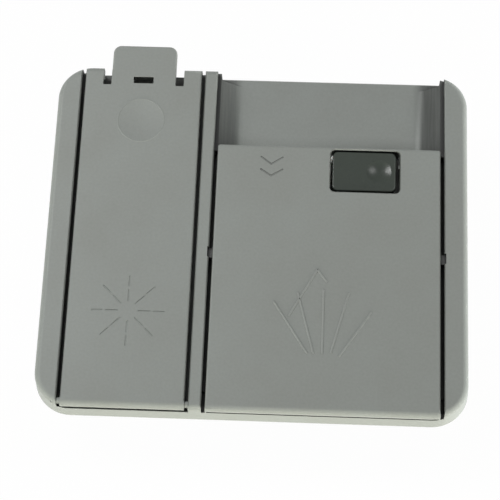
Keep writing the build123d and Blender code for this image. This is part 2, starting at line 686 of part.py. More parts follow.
def make_lid():
    """Sliding lid with guide lugs, the button's window, its well, spring shelf and pivot ears."""
    body = lid_shell()
    sides = [(RAIL_X1 - LUG_GRIP, LID_X0 + SKIRT_T), (LID_X1 - SKIRT_T, COLUMN_X + LUG_GRIP)]
    reach = LUG_L / 2
    for x0, x1 in sides:
        body += block(x0, x1, LUG_Y - reach, LUG_Y + reach, LUG_Z0, LUG_Z1)
        body += block(x0, x1, FOOT_LUG_Y - reach, FOOT_LUG_Y + reach, FOOT_LUG_Z0, FOOT_LUG_Z1)
    for x in (LID_X0, LID_X1 - SKIRT_T):
        body += block(x, x + SKIRT_T, FOOT_LUG_Y - reach, FOOT_LUG_Y + reach, FOOT_LUG_Z0, PANEL_Z)
    foot_z = LID_SKIRT_Z - MOVE_GAP / 2
    half = LID_FOOT_W / 2
    for shift in LID_FOOT_SHIFT:
        x = LID_X + shift
        body += block(x - half, x + half, HINGE_Y, HINGE_Y + EDGE_ROUND, foot_z, PANEL_Z)
    window_x0 = BUTTON_X - WINDOW_W / 2
    window_x1 = BUTTON_X + WINDOW_W / 2
    window_y0 = BUTTON_Y - WINDOW_L / 2
    window_y1 = BUTTON_Y + WINDOW_L / 2
    outer = (window_x0 - WELL_T, window_x1 + WELL_T, window_y0 - WELL_T, window_y1 + WELL_T)
    body += pad(*outer, WELL_Z, PANEL_Z, WINDOW_CORNER) & block(*outer[:3], LID_TOP_Y, 0, FAR)
    body -= pad(window_x0, window_x1, window_y0, window_y1, 0, FAR, WINDOW_CORNER)
    mouth = extrude(RectangleRounded(WINDOW_W, WINDOW_L, WINDOW_CORNER), RIM_CHAMFER, taper=-45)
    body -= Pos(BUTTON_X, BUTTON_Y, BEZEL_Z - RIM_CHAMFER) * mouth
    for side, y in SNAP_SPOTS:
        x = BUTTON_X + side * (WINDOW_W - SNAP_W) / 2
        snap = Pos(x, BUTTON_Y + y, BEZEL_Z - SNAP_SINK - SNAP_L / 2)
        body += snap * Box(SNAP_W, SNAP_L, SNAP_L)
    body += block(SHELF_X, outer[1], outer[2], LID_TOP_Y, SHELF_Z0, WELL_Z)
    ear_r = ROCKER_R + RUN_GAP
    reach = ROCKER_GRIP + SEAT_GAP
    body -= rod_y(ear_r, window_y0 - reach, window_y1 + reach, ROCKER_X, ROCKER_Z)
    rib_z = PANEL_Z - LID_RIB_Z
    well = block(*outer, 0, FAR)
    for x in (LID_X0 + CUP_INSET, LID_X):
        half = LID_RIB_T / 2
        body += block(x - half, x + half, RAMP_Y, LID_TOP_Y - WELL_T, rib_z, PANEL_Z) - well
    return body


def make_lid_liner():
    """Sealing plate under the lid, with the gasket's seat."""
    m = LINER_MARGIN + LID_GASKET_W / 2
    body = pad(CUP_X0 - m, CUP_X1 + m, CUP_Y0 - m, CUP_Y1 + m, LINER_Z0, PANEL_Z, CUP_CORNER + m)
    return body - lid_gasket_ring(LINER_Z0, LINER_Z0 + LID_GASKET_SEAT)


def lid_gasket_ring(z0, z1):
    """Ring over the cup's rim."""
    out = RIM_W / 2 + LID_GASKET_W / 2
    inn = RIM_W / 2 - LID_GASKET_W / 2
    outer = RectangleRounded(CUP_W + 2 * out, CUP_L + 2 * out, CUP_CORNER + out)
    inner = RectangleRounded(CUP_W + 2 * inn, CUP_L + 2 * inn, CUP_CORNER + inn)
    return Pos(CUP_X, CUP_Y, z0) * extrude(outer - inner, z1 - z0)


def make_lid_gasket():
    """Rubber frame that closes on the cup's rim."""
    return lid_gasket_ring(LID_GASKET_Z0, LINER_Z0 + LID_GASKET_SEAT)


def make_button():
    """Rocker button with its dish, pivot bar and latch hook."""
    y0 = BUTTON_Y - BUTTON_L / 2
    y1 = BUTTON_Y + BUTTON_L / 2
    body = pad(BUTTON_X0, BUTTON_X0 + BUTTON_W, y0, y1, BUTTON_Z0, BUTTON_Z1, BUTTON_CORNER)
    body = fillet(body.faces().sort_by(Axis.Z)[-1].edges(), BUTTON_ROUND)
    ball = dish_ball(DISH_R, DISH_DEPTH)
    body -= Pos(DISH_X, BUTTON_Y, BUTTON_Z1 + ball - DISH_DEPTH) * Sphere(ball)
    body += rod_y(ROCKER_BAR_R, y0 + ROCKER_BAR_R, y1 - ROCKER_BAR_R, ROCKER_X, ROCKER_Z)
    reach = WINDOW_L / 2 + ROCKER_GRIP
    body += rod_y(ROCKER_R, BUTTON_Y - reach, BUTTON_Y + reach, ROCKER_X, ROCKER_Z)
    hook_x0 = HOOK_X - HOOK_W / 2
    hook_x1 = HOOK_X + HOOK_W / 2
    body += block(hook_x0, hook_x1, HOOK_Y - HOOK_STEM, HOOK_Y, HOOK_Z, BUTTON_Z0 + BUTTON_ROUND)
    body += block(hook_x0, hook_x1, HOOK_Y - HOOK_STEM, HOOK_FRONT, HOOK_Z, HOOK_Z + HOOK_NOSE_H)
    return body


def make_button_spring():
    """Small coil between the lid's shelf and the button."""
    length = BUTTON_Z0 - WELL_Z - RUN_GAP
    spring = coil(BUTTON_SPRING_R, BUTTON_WIRE_R, length, BUTTON_TURNS)
    return Pos(BUTTON_SPRING_X, BUTTON_Y, WELL_Z) * spring


def make_rotor():
    """Turning catch: disc with a raised crescent, on the shaft that goes through the floor."""
    body = rod_z(ROTOR_R, ROTOR_Z0, ROTOR_Z1, LATCH_X, LATCH_Y)
    ring = Circle(ROTOR_R) - Circle(ROTOR_R - ROTOR_RIM)
    half = radians(ROTOR_ARC / 2)
    far = 2 * ROTOR_R
    wedge = make_face(Polyline((0, 0), (far, -far * tan(half)), (far, far * tan(half)), close=True))
    body += Pos(LATCH_X, LATCH_Y, ROTOR_Z1) * extrude(ring & wedge, ROTOR_RIM_H)
    body += rod_z(SHAFT_R, SHAFT_END_Z, ROTOR_Z0, LATCH_X, LATCH_Y)
    groove = Circle(SHAFT_R) - Circle(SHAFT_R - CLIP_GROOVE)
    return body - Pos(LATCH_X, LATCH_Y, CLIP_Z0) * extrude(groove, CLIP_T)


def make_shaft_seal():
    """O-ring between the shaft and its boss."""
    z = SHAFT_BOSS_Z + ORING_R
    return Pos(LATCH_X, LATCH_Y, z) * Torus(SHAFT_R + ORING_R + RUN_GAP, ORING_R)


def make_crank():
    """Crank disc with its pin, on the shaft's rear end."""
    hub = Pos(LATCH_X, LATCH_Y) * Circle(SHAFT_R + CRANK_PAD)
    eye = Pos(PIN_X, PIN_Y) * Circle(CRANK_PIN_R + CRANK_PAD / 2)
    plate = make_hull([*hub.edges(), *eye.edges()])
    body = Pos(0, 0, CRANK_Z0) * extrude(plate, CRANK_T)
    body -= rod_z(SHAFT_R, CRANK_Z0, CRANK_Z1, LATCH_X, LATCH_Y)
    return body + rod_z(CRANK_PIN_R, LINK_Z0 - MOVE_GAP, CRANK_Z0, PIN_X, PIN_Y)


def make_crank_clip():
    """Open snap ring in the shaft's groove."""
    inner = SHAFT_R - CLIP_GROOVE
    ring = Circle(SHAFT_R + CLIP_W - CLIP_GROOVE) - Circle(inner)
    ring -= Pos(0, SHAFT_R) * Rectangle(inner, 2 * SHAFT_R)
    return Pos(LATCH_X, LATCH_Y, CLIP_Z0) * extrude(ring, CLIP_T)


def make_frame():
    """Folded steel frame of the solenoid: mounting plate and two end plates."""
    y0 = PULL_Y - FRAME_W / 2
    y1 = PULL_Y + FRAME_W / 2
    body = block(FRAME_X0, FRAME_X1, y0, y1, FRAME_Z0, FRAME_Z1)
    body -= block(FRAME_X0 + FRAME_T, FRAME_X1 - FRAME_T, y0, y1, FRAME_Z0, FRAME_Z1 - FRAME_T)
    bends = body.edges().filter_by(Axis.Y).group_by(Axis.Z)[-1]
    body = fillet(bends, FRAME_T)
    body -= rod_x(PLUNGER_R + SEAT_GAP, FRAME_X0, FRAME_X0 + FRAME_T, PULL_Y, COIL_Z)
    body -= rod_x(PLUNGER_R - SEAT_GAP, FRAME_X1 - FRAME_T, FRAME_X1, PULL_Y, COIL_Z)
    for x, y in frame_screw_places():
        body -= rod_z(FRAME_SCREW_R + RUN_GAP, FRAME_Z1 - FRAME_T, FRAME_Z1, x, y)
    return body


def make_bobbin():
    """Coil former: tube with two square flanges and the terminal block."""
    tube_r = PLUNGER_R + SEAT_GAP + BOBBIN_WALL
    x0 = COIL_X0 - BOBBIN_T
    x1 = COIL_X1 + BOBBIN_T
    half = BOBBIN_W / 2
    body = rod_x(tube_r, x0, x1, PULL_Y, COIL_Z)
    for x in (x0, COIL_X1):
        body += block(x, x + BOBBIN_T, PULL_Y - half, PULL_Y + half, COIL_Z - half, COIL_Z + half)
    seat_y0 = PULL_Y + half - BOBBIN_T
    seat_y1 = PULL_Y + half + TERMINAL_W / 2
    body += block(COIL_X1 - TERMINAL_W, x1, seat_y0, seat_y1, COIL_Z - half, COIL_Z + half)
    body -= rod_x(PLUNGER_R + SEAT_GAP / 2, x0, x1, PULL_Y, COIL_Z)
    return body


def make_winding():
    """Copper winding between the flanges."""
    body = rod_x(COIL_R, COIL_X0, COIL_X1, PULL_Y, COIL_Z)
    body -= rod_x(PLUNGER_R + SEAT_GAP + BOBBIN_WALL, COIL_X0, COIL_X1, PULL_Y, COIL_Z)
    half = BOBBIN_W / 2
    y0 = PULL_Y + half - BOBBIN_T
    return body - block(COIL_X1 - TERMINAL_W, COIL_X1, y0, y0 + half, COIL_Z - half, COIL_Z + half)


def make_terminals():
    """Two flat terminals in the bobbin's block."""
    y0 = PULL_Y + BOBBIN_W / 2 + TERMINAL_W / 2
    x = COIL_X1 + BOBBIN_T - TERMINAL_W / 2
    half_t = TERMINAL_T / 2
    half_w = TERMINAL_W / 2
    tabs = []
    for side in (-1, 1):
        z = COIL_Z + side * BOBBIN_W / 4
        tab = block(x - half_t, x + half_t, y0, y0 + TERMINAL_L, z - half_w, z + half_w)
        ends = tab.edges().filter_by(Axis.X).group_by(Axis.Y)[-1]
        tabs.append(chamfer(ends, TERMINAL_W / 5))
    return Compound(children=tabs)


def make_core():
    """Fixed core at the closed end of the coil."""
    body = rod_x(PLUNGER_R, PLUNGER_X1 + SEAT_GAP, FRAME_X1 - FRAME_T, PULL_Y, COIL_Z)
    return body + rod_x(PLUNGER_R - SEAT_GAP, FRAME_X1 - FRAME_T, FRAME_X1, PULL_Y, COIL_Z)


def make_frame_screws():
    """Two screws that hold the solenoid frame."""
    z = FRAME_Z1 - FRAME_T
    head_z = z - FRAME_HEAD_T
    slot = RIM_CHAMFER
    screws = []
    for x, y in frame_screw_places():
        head = rod_z(FRAME_HEAD_R, head_z, z, x, y)
        head = fillet(head.faces().sort_by(Axis.Z)[0].edges(), FRAME_HEAD_T / 2)
        head -= block(x - FRAME_HEAD_R, x + FRAME_HEAD_R, y - slot, y + slot, head_z, z - FRAME_HEAD_T / 2)
        screws.append(head + rod_z(FRAME_SCREW_R, z, FRAME_Z1 + FRAME_BOSS_R - SEAT_GAP, x, y))
    return Compound(children=screws)


def make_plunger():
    """Moving core with its spring collar and the fork for the link."""
    body = rod_x(PLUNGER_R, PLUNGER_X0, PLUNGER_X1, PULL_Y, COIL_Z)
    body += rod_x(PLUNGER_R + PLUNGER_COLLAR, PLUNGER_X0, PLUNGER_X0 + PLUNGER_COLLAR_T, PULL_Y, COIL_Z)
    wide = 2 * (PLUNGER_R + PLUNGER_COLLAR)
    body -= block(PLUNGER_X0, PLUNGER_X0 + LINK_TONGUE, PULL_Y - wide, PULL_Y + wide, LINK_Z0, LINK_Z1)
    return body - rod_z(LINK_PIN_R, COIL_Z - wide, COIL_Z + wide, LINK_PIN_X, PULL_Y)


def make_plunger_spring():
    """Return spring between the frame and the plunger's collar."""
    x0 = PLUNGER_X0 + PLUNGER_COLLAR_T
    length = FRAME_X0 - x0
    mean_r = PLUNGER_R + PLUNGER_COLLAR / 2
    return Pos(x0, PULL_Y, COIL_Z) * Rot(0, 90, 0) * coil(mean_r, PLUNGER_WIRE_R, length, PLUNGER_TURNS)


def make_link():
    """Slotted link: carries the crank pin in its slot and ties the plunger to the dosing rod."""
    gap = CRANK_PIN_R + LINK_GAP
    slot_y0 = LATCH_Y - CRANK_R - gap
    slot_y1 = PIN_Y + gap
    body = pad(LINK_X0, LINK_X1, slot_y0 - LINK_EDGE, slot_y1 + LINK_EDGE, LINK_Z0, LINK_Z1, LINK_EDGE / 2)
    half = LINK_TONGUE_W / 2
    tongue_x1 = PLUNGER_X0 + LINK_TONGUE
    body += block(LINK_X1 - LINK_EDGE, tongue_x1, PULL_Y - half, PULL_Y + half, LINK_Z0, LINK_Z1)
    grip = ROD_R + LINK_EDGE / 2
    body += rod_x(grip, LINK_X0 - ROD_GRIP, LINK_X0 + LINK_EDGE / 2, PULL_Y, COIL_Z)
    body -= rod_x(ROD_R, LINK_X0 - ROD_GRIP, LINK_X0, PULL_Y, COIL_Z)
    body -= pad(PIN_X - gap, PIN_X + gap, slot_y0, slot_y1, LINK_Z0, LINK_Z1, CRANK_PIN_R)
    return body - rod_z(LINK_PIN_R, LINK_Z0, LINK_Z1, LINK_PIN_X, PULL_Y)


def make_link_pin():
    """Cross pin that holds the link in the plunger's fork."""
    reach = PLUNGER_R - SEAT_GAP
    return rod_z(LINK_PIN_R, COIL_Z - reach, COIL_Z + reach, LINK_PIN_X, PULL_Y)


def make_tank():
    """Rinse-aid tank, open to the deck, with the dosing chamber, its spout and the float's brackets."""
    outer = (TANK_X0, TANK_X1, TANK_Y0, TANK_Y1)
    body = pad(*outer, BACK_Z, 0, TANK_CORNER)
    rim = (TANK_X0 - TANK_RIM, TANK_X1 + TANK_RIM, TANK_Y0 - TANK_RIM, TANK_Y1 + TANK_RIM)
    body += pad(*rim, -TANK_RIM_T, 0, TANK_CORNER + TANK_RIM)
    inner = (TANK_X0 + WALL, TANK_X1 - WALL, TANK_Y0 + WALL, TANK_Y1 - WALL)
    tube_r = CHAMBER_R + WALL
    body += rod_x(tube_r, TANK_X1 - WALL, CHAMBER_X1, PULL_Y, COIL_Z)
    body += rod_z(SPOUT_R + SPOUT_WALL, COIL_Z, 0, SPOUT_AXIS_X, PULL_Y)
    body -= pad(*inner, BACK_Z + WALL, 0, TANK_CORNER - WALL)
    body -= rod_x(CHAMBER_R, TANK_X1, CHAMBER_X1, PULL_Y, COIL_Z)
    body -= rod_x(VALVE_SEAT_R, TANK_X1 - WALL, TANK_X1, PULL_Y, COIL_Z)
    body -= rod_z(SPOUT_R, COIL_Z, 0, SPOUT_AXIS_X, PULL_Y)
    for y in (FLOAT_Y0 - FLOAT_BRACKET_T - SEAT_GAP, FLOAT_Y1 + SEAT_GAP):
        x0 = FLOAT_ROD_X - FLOAT_BRACKET_W / 2
        top = FLOAT_ROD_Z + FLOAT_BRACKET_W / 2
        foot = block(x0, x0 + FLOAT_BRACKET_W, y, y + FLOAT_BRACKET_T, BACK_Z + WALL, top)
        body += foot - rod_y(FLOAT_ROD_R, y, y + FLOAT_BRACKET_T, FLOAT_ROD_X, FLOAT_ROD_Z)
    return body


def make_cap():
    """Cap of the dosing chamber, with the seat of the rod's O-ring."""
    body = rod_x(CHAMBER_R + WALL, CHAMBER_X1, CHAMBER_X1 + CAP_T, PULL_Y, COIL_Z)
    body += rod_x(CHAMBER_R, CHAMBER_X1 - CAP_SPIGOT, CHAMBER_X1, PULL_Y, COIL_Z)
    body -= rod_x(ROD_R + RUN_GAP, CHAMBER_X1 - CAP_SPIGOT, CHAMBER_X1 + CAP_T, PULL_Y, COIL_Z)
    seat_r = ROD_R + 2 * ROD_ORING_R + 2 * RUN_GAP
    x1 = CHAMBER_X1 + CAP_T
    return body - rod_x(seat_r, x1 - 2 * ROD_ORING_R - RUN_GAP, x1, PULL_Y, COIL_Z)


def make_rod_seal():
    """O-ring round the dosing rod."""
    x = CHAMBER_X1 + CAP_T - ROD_ORING_R - RUN_GAP
    return Pos(x, PULL_Y, COIL_Z) * Rot(0, 90, 0) * Torus(ROD_R + ROD_ORING_R + RUN_GAP, ROD_ORING_R)


def make_rod():
    """Dosing rod from the link to the valve disc."""
    return rod_x(ROD_R, VALVE_X0 + WALL / 2, LINK_X0, PULL_Y, COIL_Z)


def make_valve():
    """Rubber valve disc on the rod's end."""
    body = rod_x(VALVE_R, VALVE_X0, VALVE_X1, PULL_Y, COIL_Z)
    body = fillet(body.faces().sort_by(Axis.X)[0].edges(), VALVE_T / 4)
    return body - rod_x(ROD_R, VALVE_X0 + WALL / 2, VALVE_X1, PULL_Y, COIL_Z)


def make_valve_spring():
    """Closing spring between the valve disc and the cap."""
    length = CHAMBER_X1 - CAP_SPIGOT - VALVE_X1
    mean_r = (ROD_R + VALVE_R) / 2
    return Pos(VALVE_X1, PULL_Y, COIL_Z) * Rot(0, 90, 0) * coil(mean_r, VALVE_WIRE_R, length, VALVE_TURNS)


def make_float_rod():
    """Guide rod of the level float."""
    y0 = FLOAT_Y0 - FLOAT_BRACKET_T - SEAT_GAP
    y1 = FLOAT_Y1 + FLOAT_BRACKET_T + SEAT_GAP
    return rod_y(FLOAT_ROD_R, y0, y1, FLOAT_ROD_X, FLOAT_ROD_Z)


def make_float():
    """Level float that slides on its rod, with a pocket for the magnet."""
    body = rod_y(FLOAT_R, FLOAT_Y0, FLOAT_Y0 + FLOAT_L, FLOAT_ROD_X, FLOAT_ROD_Z)
    body = fillet(body.edges().filter_by(GeomType.CIRCLE), FLOAT_ROD_R)
    body -= rod_y(FLOAT_ROD_R + RUN_GAP, FLOAT_Y0, FLOAT_Y0 + FLOAT_L, FLOAT_ROD_X, FLOAT_ROD_Z)
    return body - magnet_form()


def magnet_form():
    """Magnet in the float's end, on the side of the switch."""
    x = FLOAT_ROD_X + FLOAT_ROD_R + MAGNET_R + RIM_CHAMFER
    y1 = FLOAT_Y0 + FLOAT_L
    return rod_y(MAGNET_R, y1 - MAGNET_L, y1, x, FLOAT_ROD_Z)


def sensor_span():
    """The switch housing's box beside the tank wall."""
    y0 = SENSOR_Y - SENSOR_L / 2
    z0 = FLOAT_ROD_Z - SENSOR_H / 2
    return (TANK_X1, TANK_X1 + SENSOR_W, y0, y0 + SENSOR_L, z0, z0 + SENSOR_H)


def make_sensor():
    """Level switch housing on the tank's side wall."""
    body = block(*sensor_span())
    outer = body.edges().filter_by(Axis.Y).group_by(Axis.X)[-1]
    return fillet(outer, SENSOR_W / 4)


def make_sensor_pins():
    """Two flat pins on the switch housing's end."""
    span = sensor_span()
    x = (span[0] + span[1]) / 2
    y0 = span[2]
    pins = []
    for side in (-1, 1):
        z = FLOAT_ROD_Z + side * PIN_PITCH / 2
        pins.append(block(x - PIN_T / 2, x + PIN_T / 2, y0 - PIN_L, y0, z - PIN_W / 2, z + PIN_W / 2))
    return Compound(children=pins)


NODES = {
    "housing": make_housing,
    "door_gasket": make_door_gasket,
    "tank_shell": make_tank,
    "rinse_flap": make_flap,
    "filler_seal": make_filler_seal,
    "detergent_lid": make_lid,
    "lid_liner": make_lid_liner,
    "lid_gasket": make_lid_gasket,
    "release_button": make_button,
    "button_spring": make_button_spring,
    "latch_rotor": make_rotor,
    "shaft_seal": make_shaft_seal,
    "latch_crank": make_crank,
    "crank_clip": make_crank_clip,
    "solenoid_frame": make_frame,
    "coil_bobbin": make_bobbin,
    "coil_winding": make_winding,
    "coil_terminals": make_terminals,
    "fixed_core": make_core,
    "frame_screws": make_frame_screws,
    "plunger": make_plunger,
    "plunger_spring": make_plunger_spring,
    "yoke_link": make_link,
    "link_pin": make_link_pin,
    "dosing_cap": make_cap,
    "rod_seal": make_rod_seal,
    "dosing_rod": make_rod,
    "valve_disc": make_valve,
    "valve_spring": make_valve_spring,
    "float_rod": make_float_rod,
    "level_float": make_float,
    "float_magnet": magnet_form,
    "reed_sensor": make_sensor,
    "sensor_terminals": make_sensor_pins,
}

os.makedirs("parts", exist_ok=True)
for name, make in NODES.items():
    export_step(make(), f"parts/{name}.step")
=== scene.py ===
"""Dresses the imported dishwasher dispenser: finishes, moulded marks, coil turns, studio and camera."""

import logging
import math
from dataclasses import dataclass, field, replace
from enum import Enum

import bmesh
import bpy
from mathutils import Euler, Matrix, Vector


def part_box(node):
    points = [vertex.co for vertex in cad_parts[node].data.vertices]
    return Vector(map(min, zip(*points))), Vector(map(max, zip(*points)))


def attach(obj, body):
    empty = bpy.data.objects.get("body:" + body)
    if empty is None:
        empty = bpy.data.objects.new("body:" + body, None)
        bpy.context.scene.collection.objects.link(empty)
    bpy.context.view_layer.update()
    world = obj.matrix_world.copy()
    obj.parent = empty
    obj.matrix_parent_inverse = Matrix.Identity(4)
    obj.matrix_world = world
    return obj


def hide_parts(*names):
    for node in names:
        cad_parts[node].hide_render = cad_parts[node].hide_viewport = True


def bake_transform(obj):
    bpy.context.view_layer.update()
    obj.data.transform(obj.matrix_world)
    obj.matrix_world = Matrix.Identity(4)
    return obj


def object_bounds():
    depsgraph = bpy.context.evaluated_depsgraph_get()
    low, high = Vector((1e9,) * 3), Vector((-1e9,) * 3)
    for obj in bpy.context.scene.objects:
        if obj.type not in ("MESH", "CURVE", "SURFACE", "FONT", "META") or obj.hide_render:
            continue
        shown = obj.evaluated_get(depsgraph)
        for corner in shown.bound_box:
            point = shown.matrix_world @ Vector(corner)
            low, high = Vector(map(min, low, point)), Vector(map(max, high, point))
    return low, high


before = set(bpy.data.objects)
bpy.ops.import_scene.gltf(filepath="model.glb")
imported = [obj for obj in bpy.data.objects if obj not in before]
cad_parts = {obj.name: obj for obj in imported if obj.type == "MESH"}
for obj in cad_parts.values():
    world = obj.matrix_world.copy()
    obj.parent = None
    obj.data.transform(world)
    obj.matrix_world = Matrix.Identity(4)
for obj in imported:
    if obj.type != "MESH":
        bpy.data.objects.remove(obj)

Rgb = tuple[float, float, float]
Point2 = tuple[float, float]
Point3 = tuple[float, float, float]
Bound = tuple[str, float, float, float]

MM = 0.001
CAD_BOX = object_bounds()
log = logging.getLogger("dispenser")


class Grain(Enum):
    """How the fine relief of a surface runs."""

    EVEN = (1.0, 1.0, 1.0)
    DRAWN_X = (0.06, 1.0, 1.0)
    DRAWN_Y = (1.0, 0.06, 1.0)


class Relief(Enum):
    """Whether a moulded mark is cut into its panel or stands on it."""

    CUT = "cut"
    RAISED = "raised"


@dataclass(frozen=True)
class Finish:
    """One finish: its colour, the colour it drifts to, its gloss and its fine relief.

    Colours are scene-linear, scales are per metre, and the relief's depth is in metres.
    """

    name: str
    color: Rgb
    drift: Rgb
    roughness: float
    rough_spread: float = 0.08
    cloud_scale: float = 38.0
    fleck: float = 0.05
    grain: Grain = Grain.EVEN
    grain_scale: float = 2600.0
    grain_depth: float = 0.00003
    bump: float = 0.25
    metallic: float = 0.0
    coat: float = 0.0
    specular: float = 0.5
    subsurface: float = 0.0
    # Reach and darkest share of the painted shade in corners, gaps and recesses.
    shade_reach: float = 0.0
    shade_deepest: float = 0.25
    # Share of the colour taken by painted shade on the ramp's side walls.
    wall_shade: float = 0.0
    variant: str = ""

    def material(self) -> bpy.types.Material:
        """Returns the finish's material, made on first use."""
        found = bpy.data.materials.get(self.label)
        return found if found is not None else FinishShop().make(self)

    @property
    def label(self) -> str:
        """The material's name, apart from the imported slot's own."""
        return self.name + self.variant + "_finish"


class NodeBench:
    """Places and links the nodes of one tree."""

    def __init__(self, tree: bpy.types.NodeTree) -> None:
        """Starts on an empty tree.

        Args:
            tree: The node tree to work in.
        """
        self.tree = tree
        self.tree.nodes.clear()

    def put(self, kind: str, inputs: dict | None = None, **settings: object) -> bpy.types.Node:
        """Adds a node.

        Args:
            kind: The node's type name.
            inputs: Socket name or number to its value, or to the socket that feeds it.
            settings: The node's own properties.

        Returns:
            The new node.
        """
        node = self.tree.nodes.new(kind)
        for key, value in settings.items():
            setattr(node, key, value)
        for key, value in (inputs or {}).items():
            if isinstance(value, bpy.types.NodeSocket):
                self.tree.links.new(value, node.inputs[key])
            else:
                node.inputs[key].default_value = value
        return node


class EffectGroups:
    """The effects that the finishes share, each a shader node group that is built once.

    The spans are the parts of a noise or of an openness that are stretched over the whole effect.
    """

    TONE = "moulded_tone"
    RELIEF = "fine_relief"
    RECESS = "recess_shade"
    CLOUD_SPAN = (0.34, 0.66)
    FLECK_SPAN = (0.3, 0.7)
    FLECK_RATIO = 23.0
    OPEN_SPAN = (0.55, 0.97)
    OPEN_SAMPLES = 12

    @staticmethod
    def _start(name: str, inputs: dict[str, str], outputs: dict[str, str]) -> tuple[NodeBench, bpy.types.Node]:
        """Opens a new group.

        Args:
            name: The group's name.
            inputs: Names and socket types of its inputs.
            outputs: Names and socket types of its outputs.

        Returns:
            The bench of the group's tree, and its input node.
        """
        tree = bpy.data.node_groups.new(name, "ShaderNodeTree")
        for label, kind in inputs.items():
            tree.interface.new_socket(name=label, in_out="INPUT", socket_type=kind)
        for label, kind in outputs.items():
            tree.interface.new_socket(name=label, in_out="OUTPUT", socket_type=kind)
        bench = NodeBench(tree)
        return bench, bench.put("NodeGroupInput")

    def tone(self) -> bpy.types.NodeTree:
        """Returns the group that clouds a colour and its gloss, with small flecks in it."""
        found = bpy.data.node_groups.get(self.TONE)
        if found is not None:
            return found
        value, color = "NodeSocketFloat", "NodeSocketColor"
        bench, given = self._start(
            self.TONE,
            {"Vector": "NodeSocketVector", "Color": color, "Drift": color, "Scale": value, "Fleck": value,
             "Roughness": value, "Spread": value},
            {"Color": color, "Roughness": value},
        )
        clouds = bench.put("ShaderNodeTexNoise", {"Vector": given.outputs["Vector"], "Scale": given.outputs["Scale"],
                                                  "Detail": 4.0, "Roughness": 0.55})
        low, high = self.CLOUD_SPAN
        spread = bench.put("ShaderNodeMapRange", {"Value": clouds.outputs["Fac"], "From Min": low, "From Max": high})
        mixed = bench.put("ShaderNodeMix", {"Factor": spread.outputs["Result"], "A": given.outputs["Color"],
                                            "B": given.outputs["Drift"]}, data_type="RGBA")
        fine_scale = bench.put("ShaderNodeMath", {0: given.outputs["Scale"], 1: self.FLECK_RATIO},
                               operation="MULTIPLY")
        flecks = bench.put("ShaderNodeTexNoise", {"Vector": given.outputs["Vector"],
                                                  "Scale": fine_scale.outputs["Value"], "Detail": 2.0})
        darkest = bench.put("ShaderNodeMath", {0: 1.0, 1: given.outputs["Fleck"]}, operation="SUBTRACT")
        palest = bench.put("ShaderNodeMath", {0: 1.0, 1: given.outputs["Fleck"]}, operation="ADD")
        low, high = self.FLECK_SPAN
        level = bench.put("ShaderNodeMapRange", {
            "Value": flecks.outputs["Fac"], "From Min": low, "From Max": high,
            "To Min": darkest.outputs["Value"], "To Max": palest.outputs["Value"]})
        toned = bench.put("ShaderNodeVectorMath", {0: mixed.outputs["Result"], "Scale": level.outputs["Result"]},
                          operation="SCALE")
        centred = bench.put("ShaderNodeMath", {0: clouds.outputs["Fac"], 1: 0.5}, operation="SUBTRACT")
        swing = bench.put("ShaderNodeMath", {0: centred.outputs["Value"], 1: given.outputs["Spread"],
                                             2: given.outputs["Roughness"]}, operation="MULTIPLY_ADD")
        bench.put("NodeGroupOutput", {"Color": toned.outputs["Vector"], "Roughness": swing.outputs["Value"]})
        return bench.tree

    def relief(self) -> bpy.types.NodeTree:
        """Returns the group that gives the height of a fine grain, drawn out along an axis where asked."""
        found = bpy.data.node_groups.get(self.RELIEF)
        if found is not None:
            return found
        bench, given = self._start(
            self.RELIEF,
            {"Vector": "NodeSocketVector", "Run": "NodeSocketVector", "Scale": "NodeSocketFloat"},
            {"Height": "NodeSocketFloat"},
        )
        drawn = bench.put("ShaderNodeVectorMath", {0: given.outputs["Vector"], 1: given.outputs["Run"]},
                          operation="MULTIPLY")
        grain = bench.put("ShaderNodeTexNoise", {"Vector": drawn.outputs["Vector"], "Scale": given.outputs["Scale"],
                                                 "Detail": 3.0, "Roughness": 0.6})
        bench.put("NodeGroupOutput", {"Height": grain.outputs["Fac"]})
        return bench.tree

    def recess(self) -> bpy.types.NodeTree:
        """Returns the group that paints shade into a colour in corners, gaps and recesses, darker the more closed in
        the surface is.
        """
        found = bpy.data.node_groups.get(self.RECESS)
        if found is not None:
            return found
        value, color = "NodeSocketFloat", "NodeSocketColor"
        bench, given = self._start(self.RECESS, {"Color": color, "Reach": value, "Deepest": value}, {"Color": color})
        # Painted shade: ambient occlusion darkens the colour where the surface is closed in.
        opening = bench.put("ShaderNodeAmbientOcclusion", {"Distance": given.outputs["Reach"]},
                            samples=self.OPEN_SAMPLES)
        low, high = self.OPEN_SPAN
        level = bench.put("ShaderNodeMapRange", {"Value": opening.outputs["AO"], "From Min": low, "From Max": high,
                                                 "To Min": given.outputs["Deepest"], "To Max": 1.0})
        shaded = bench.put("ShaderNodeVectorMath", {0: given.outputs["Color"], "Scale": level.outputs["Result"]},
                           operation="SCALE")
        bench.put("NodeGroupOutput", {"Color": shaded.outputs["Vector"]})
        return bench.tree


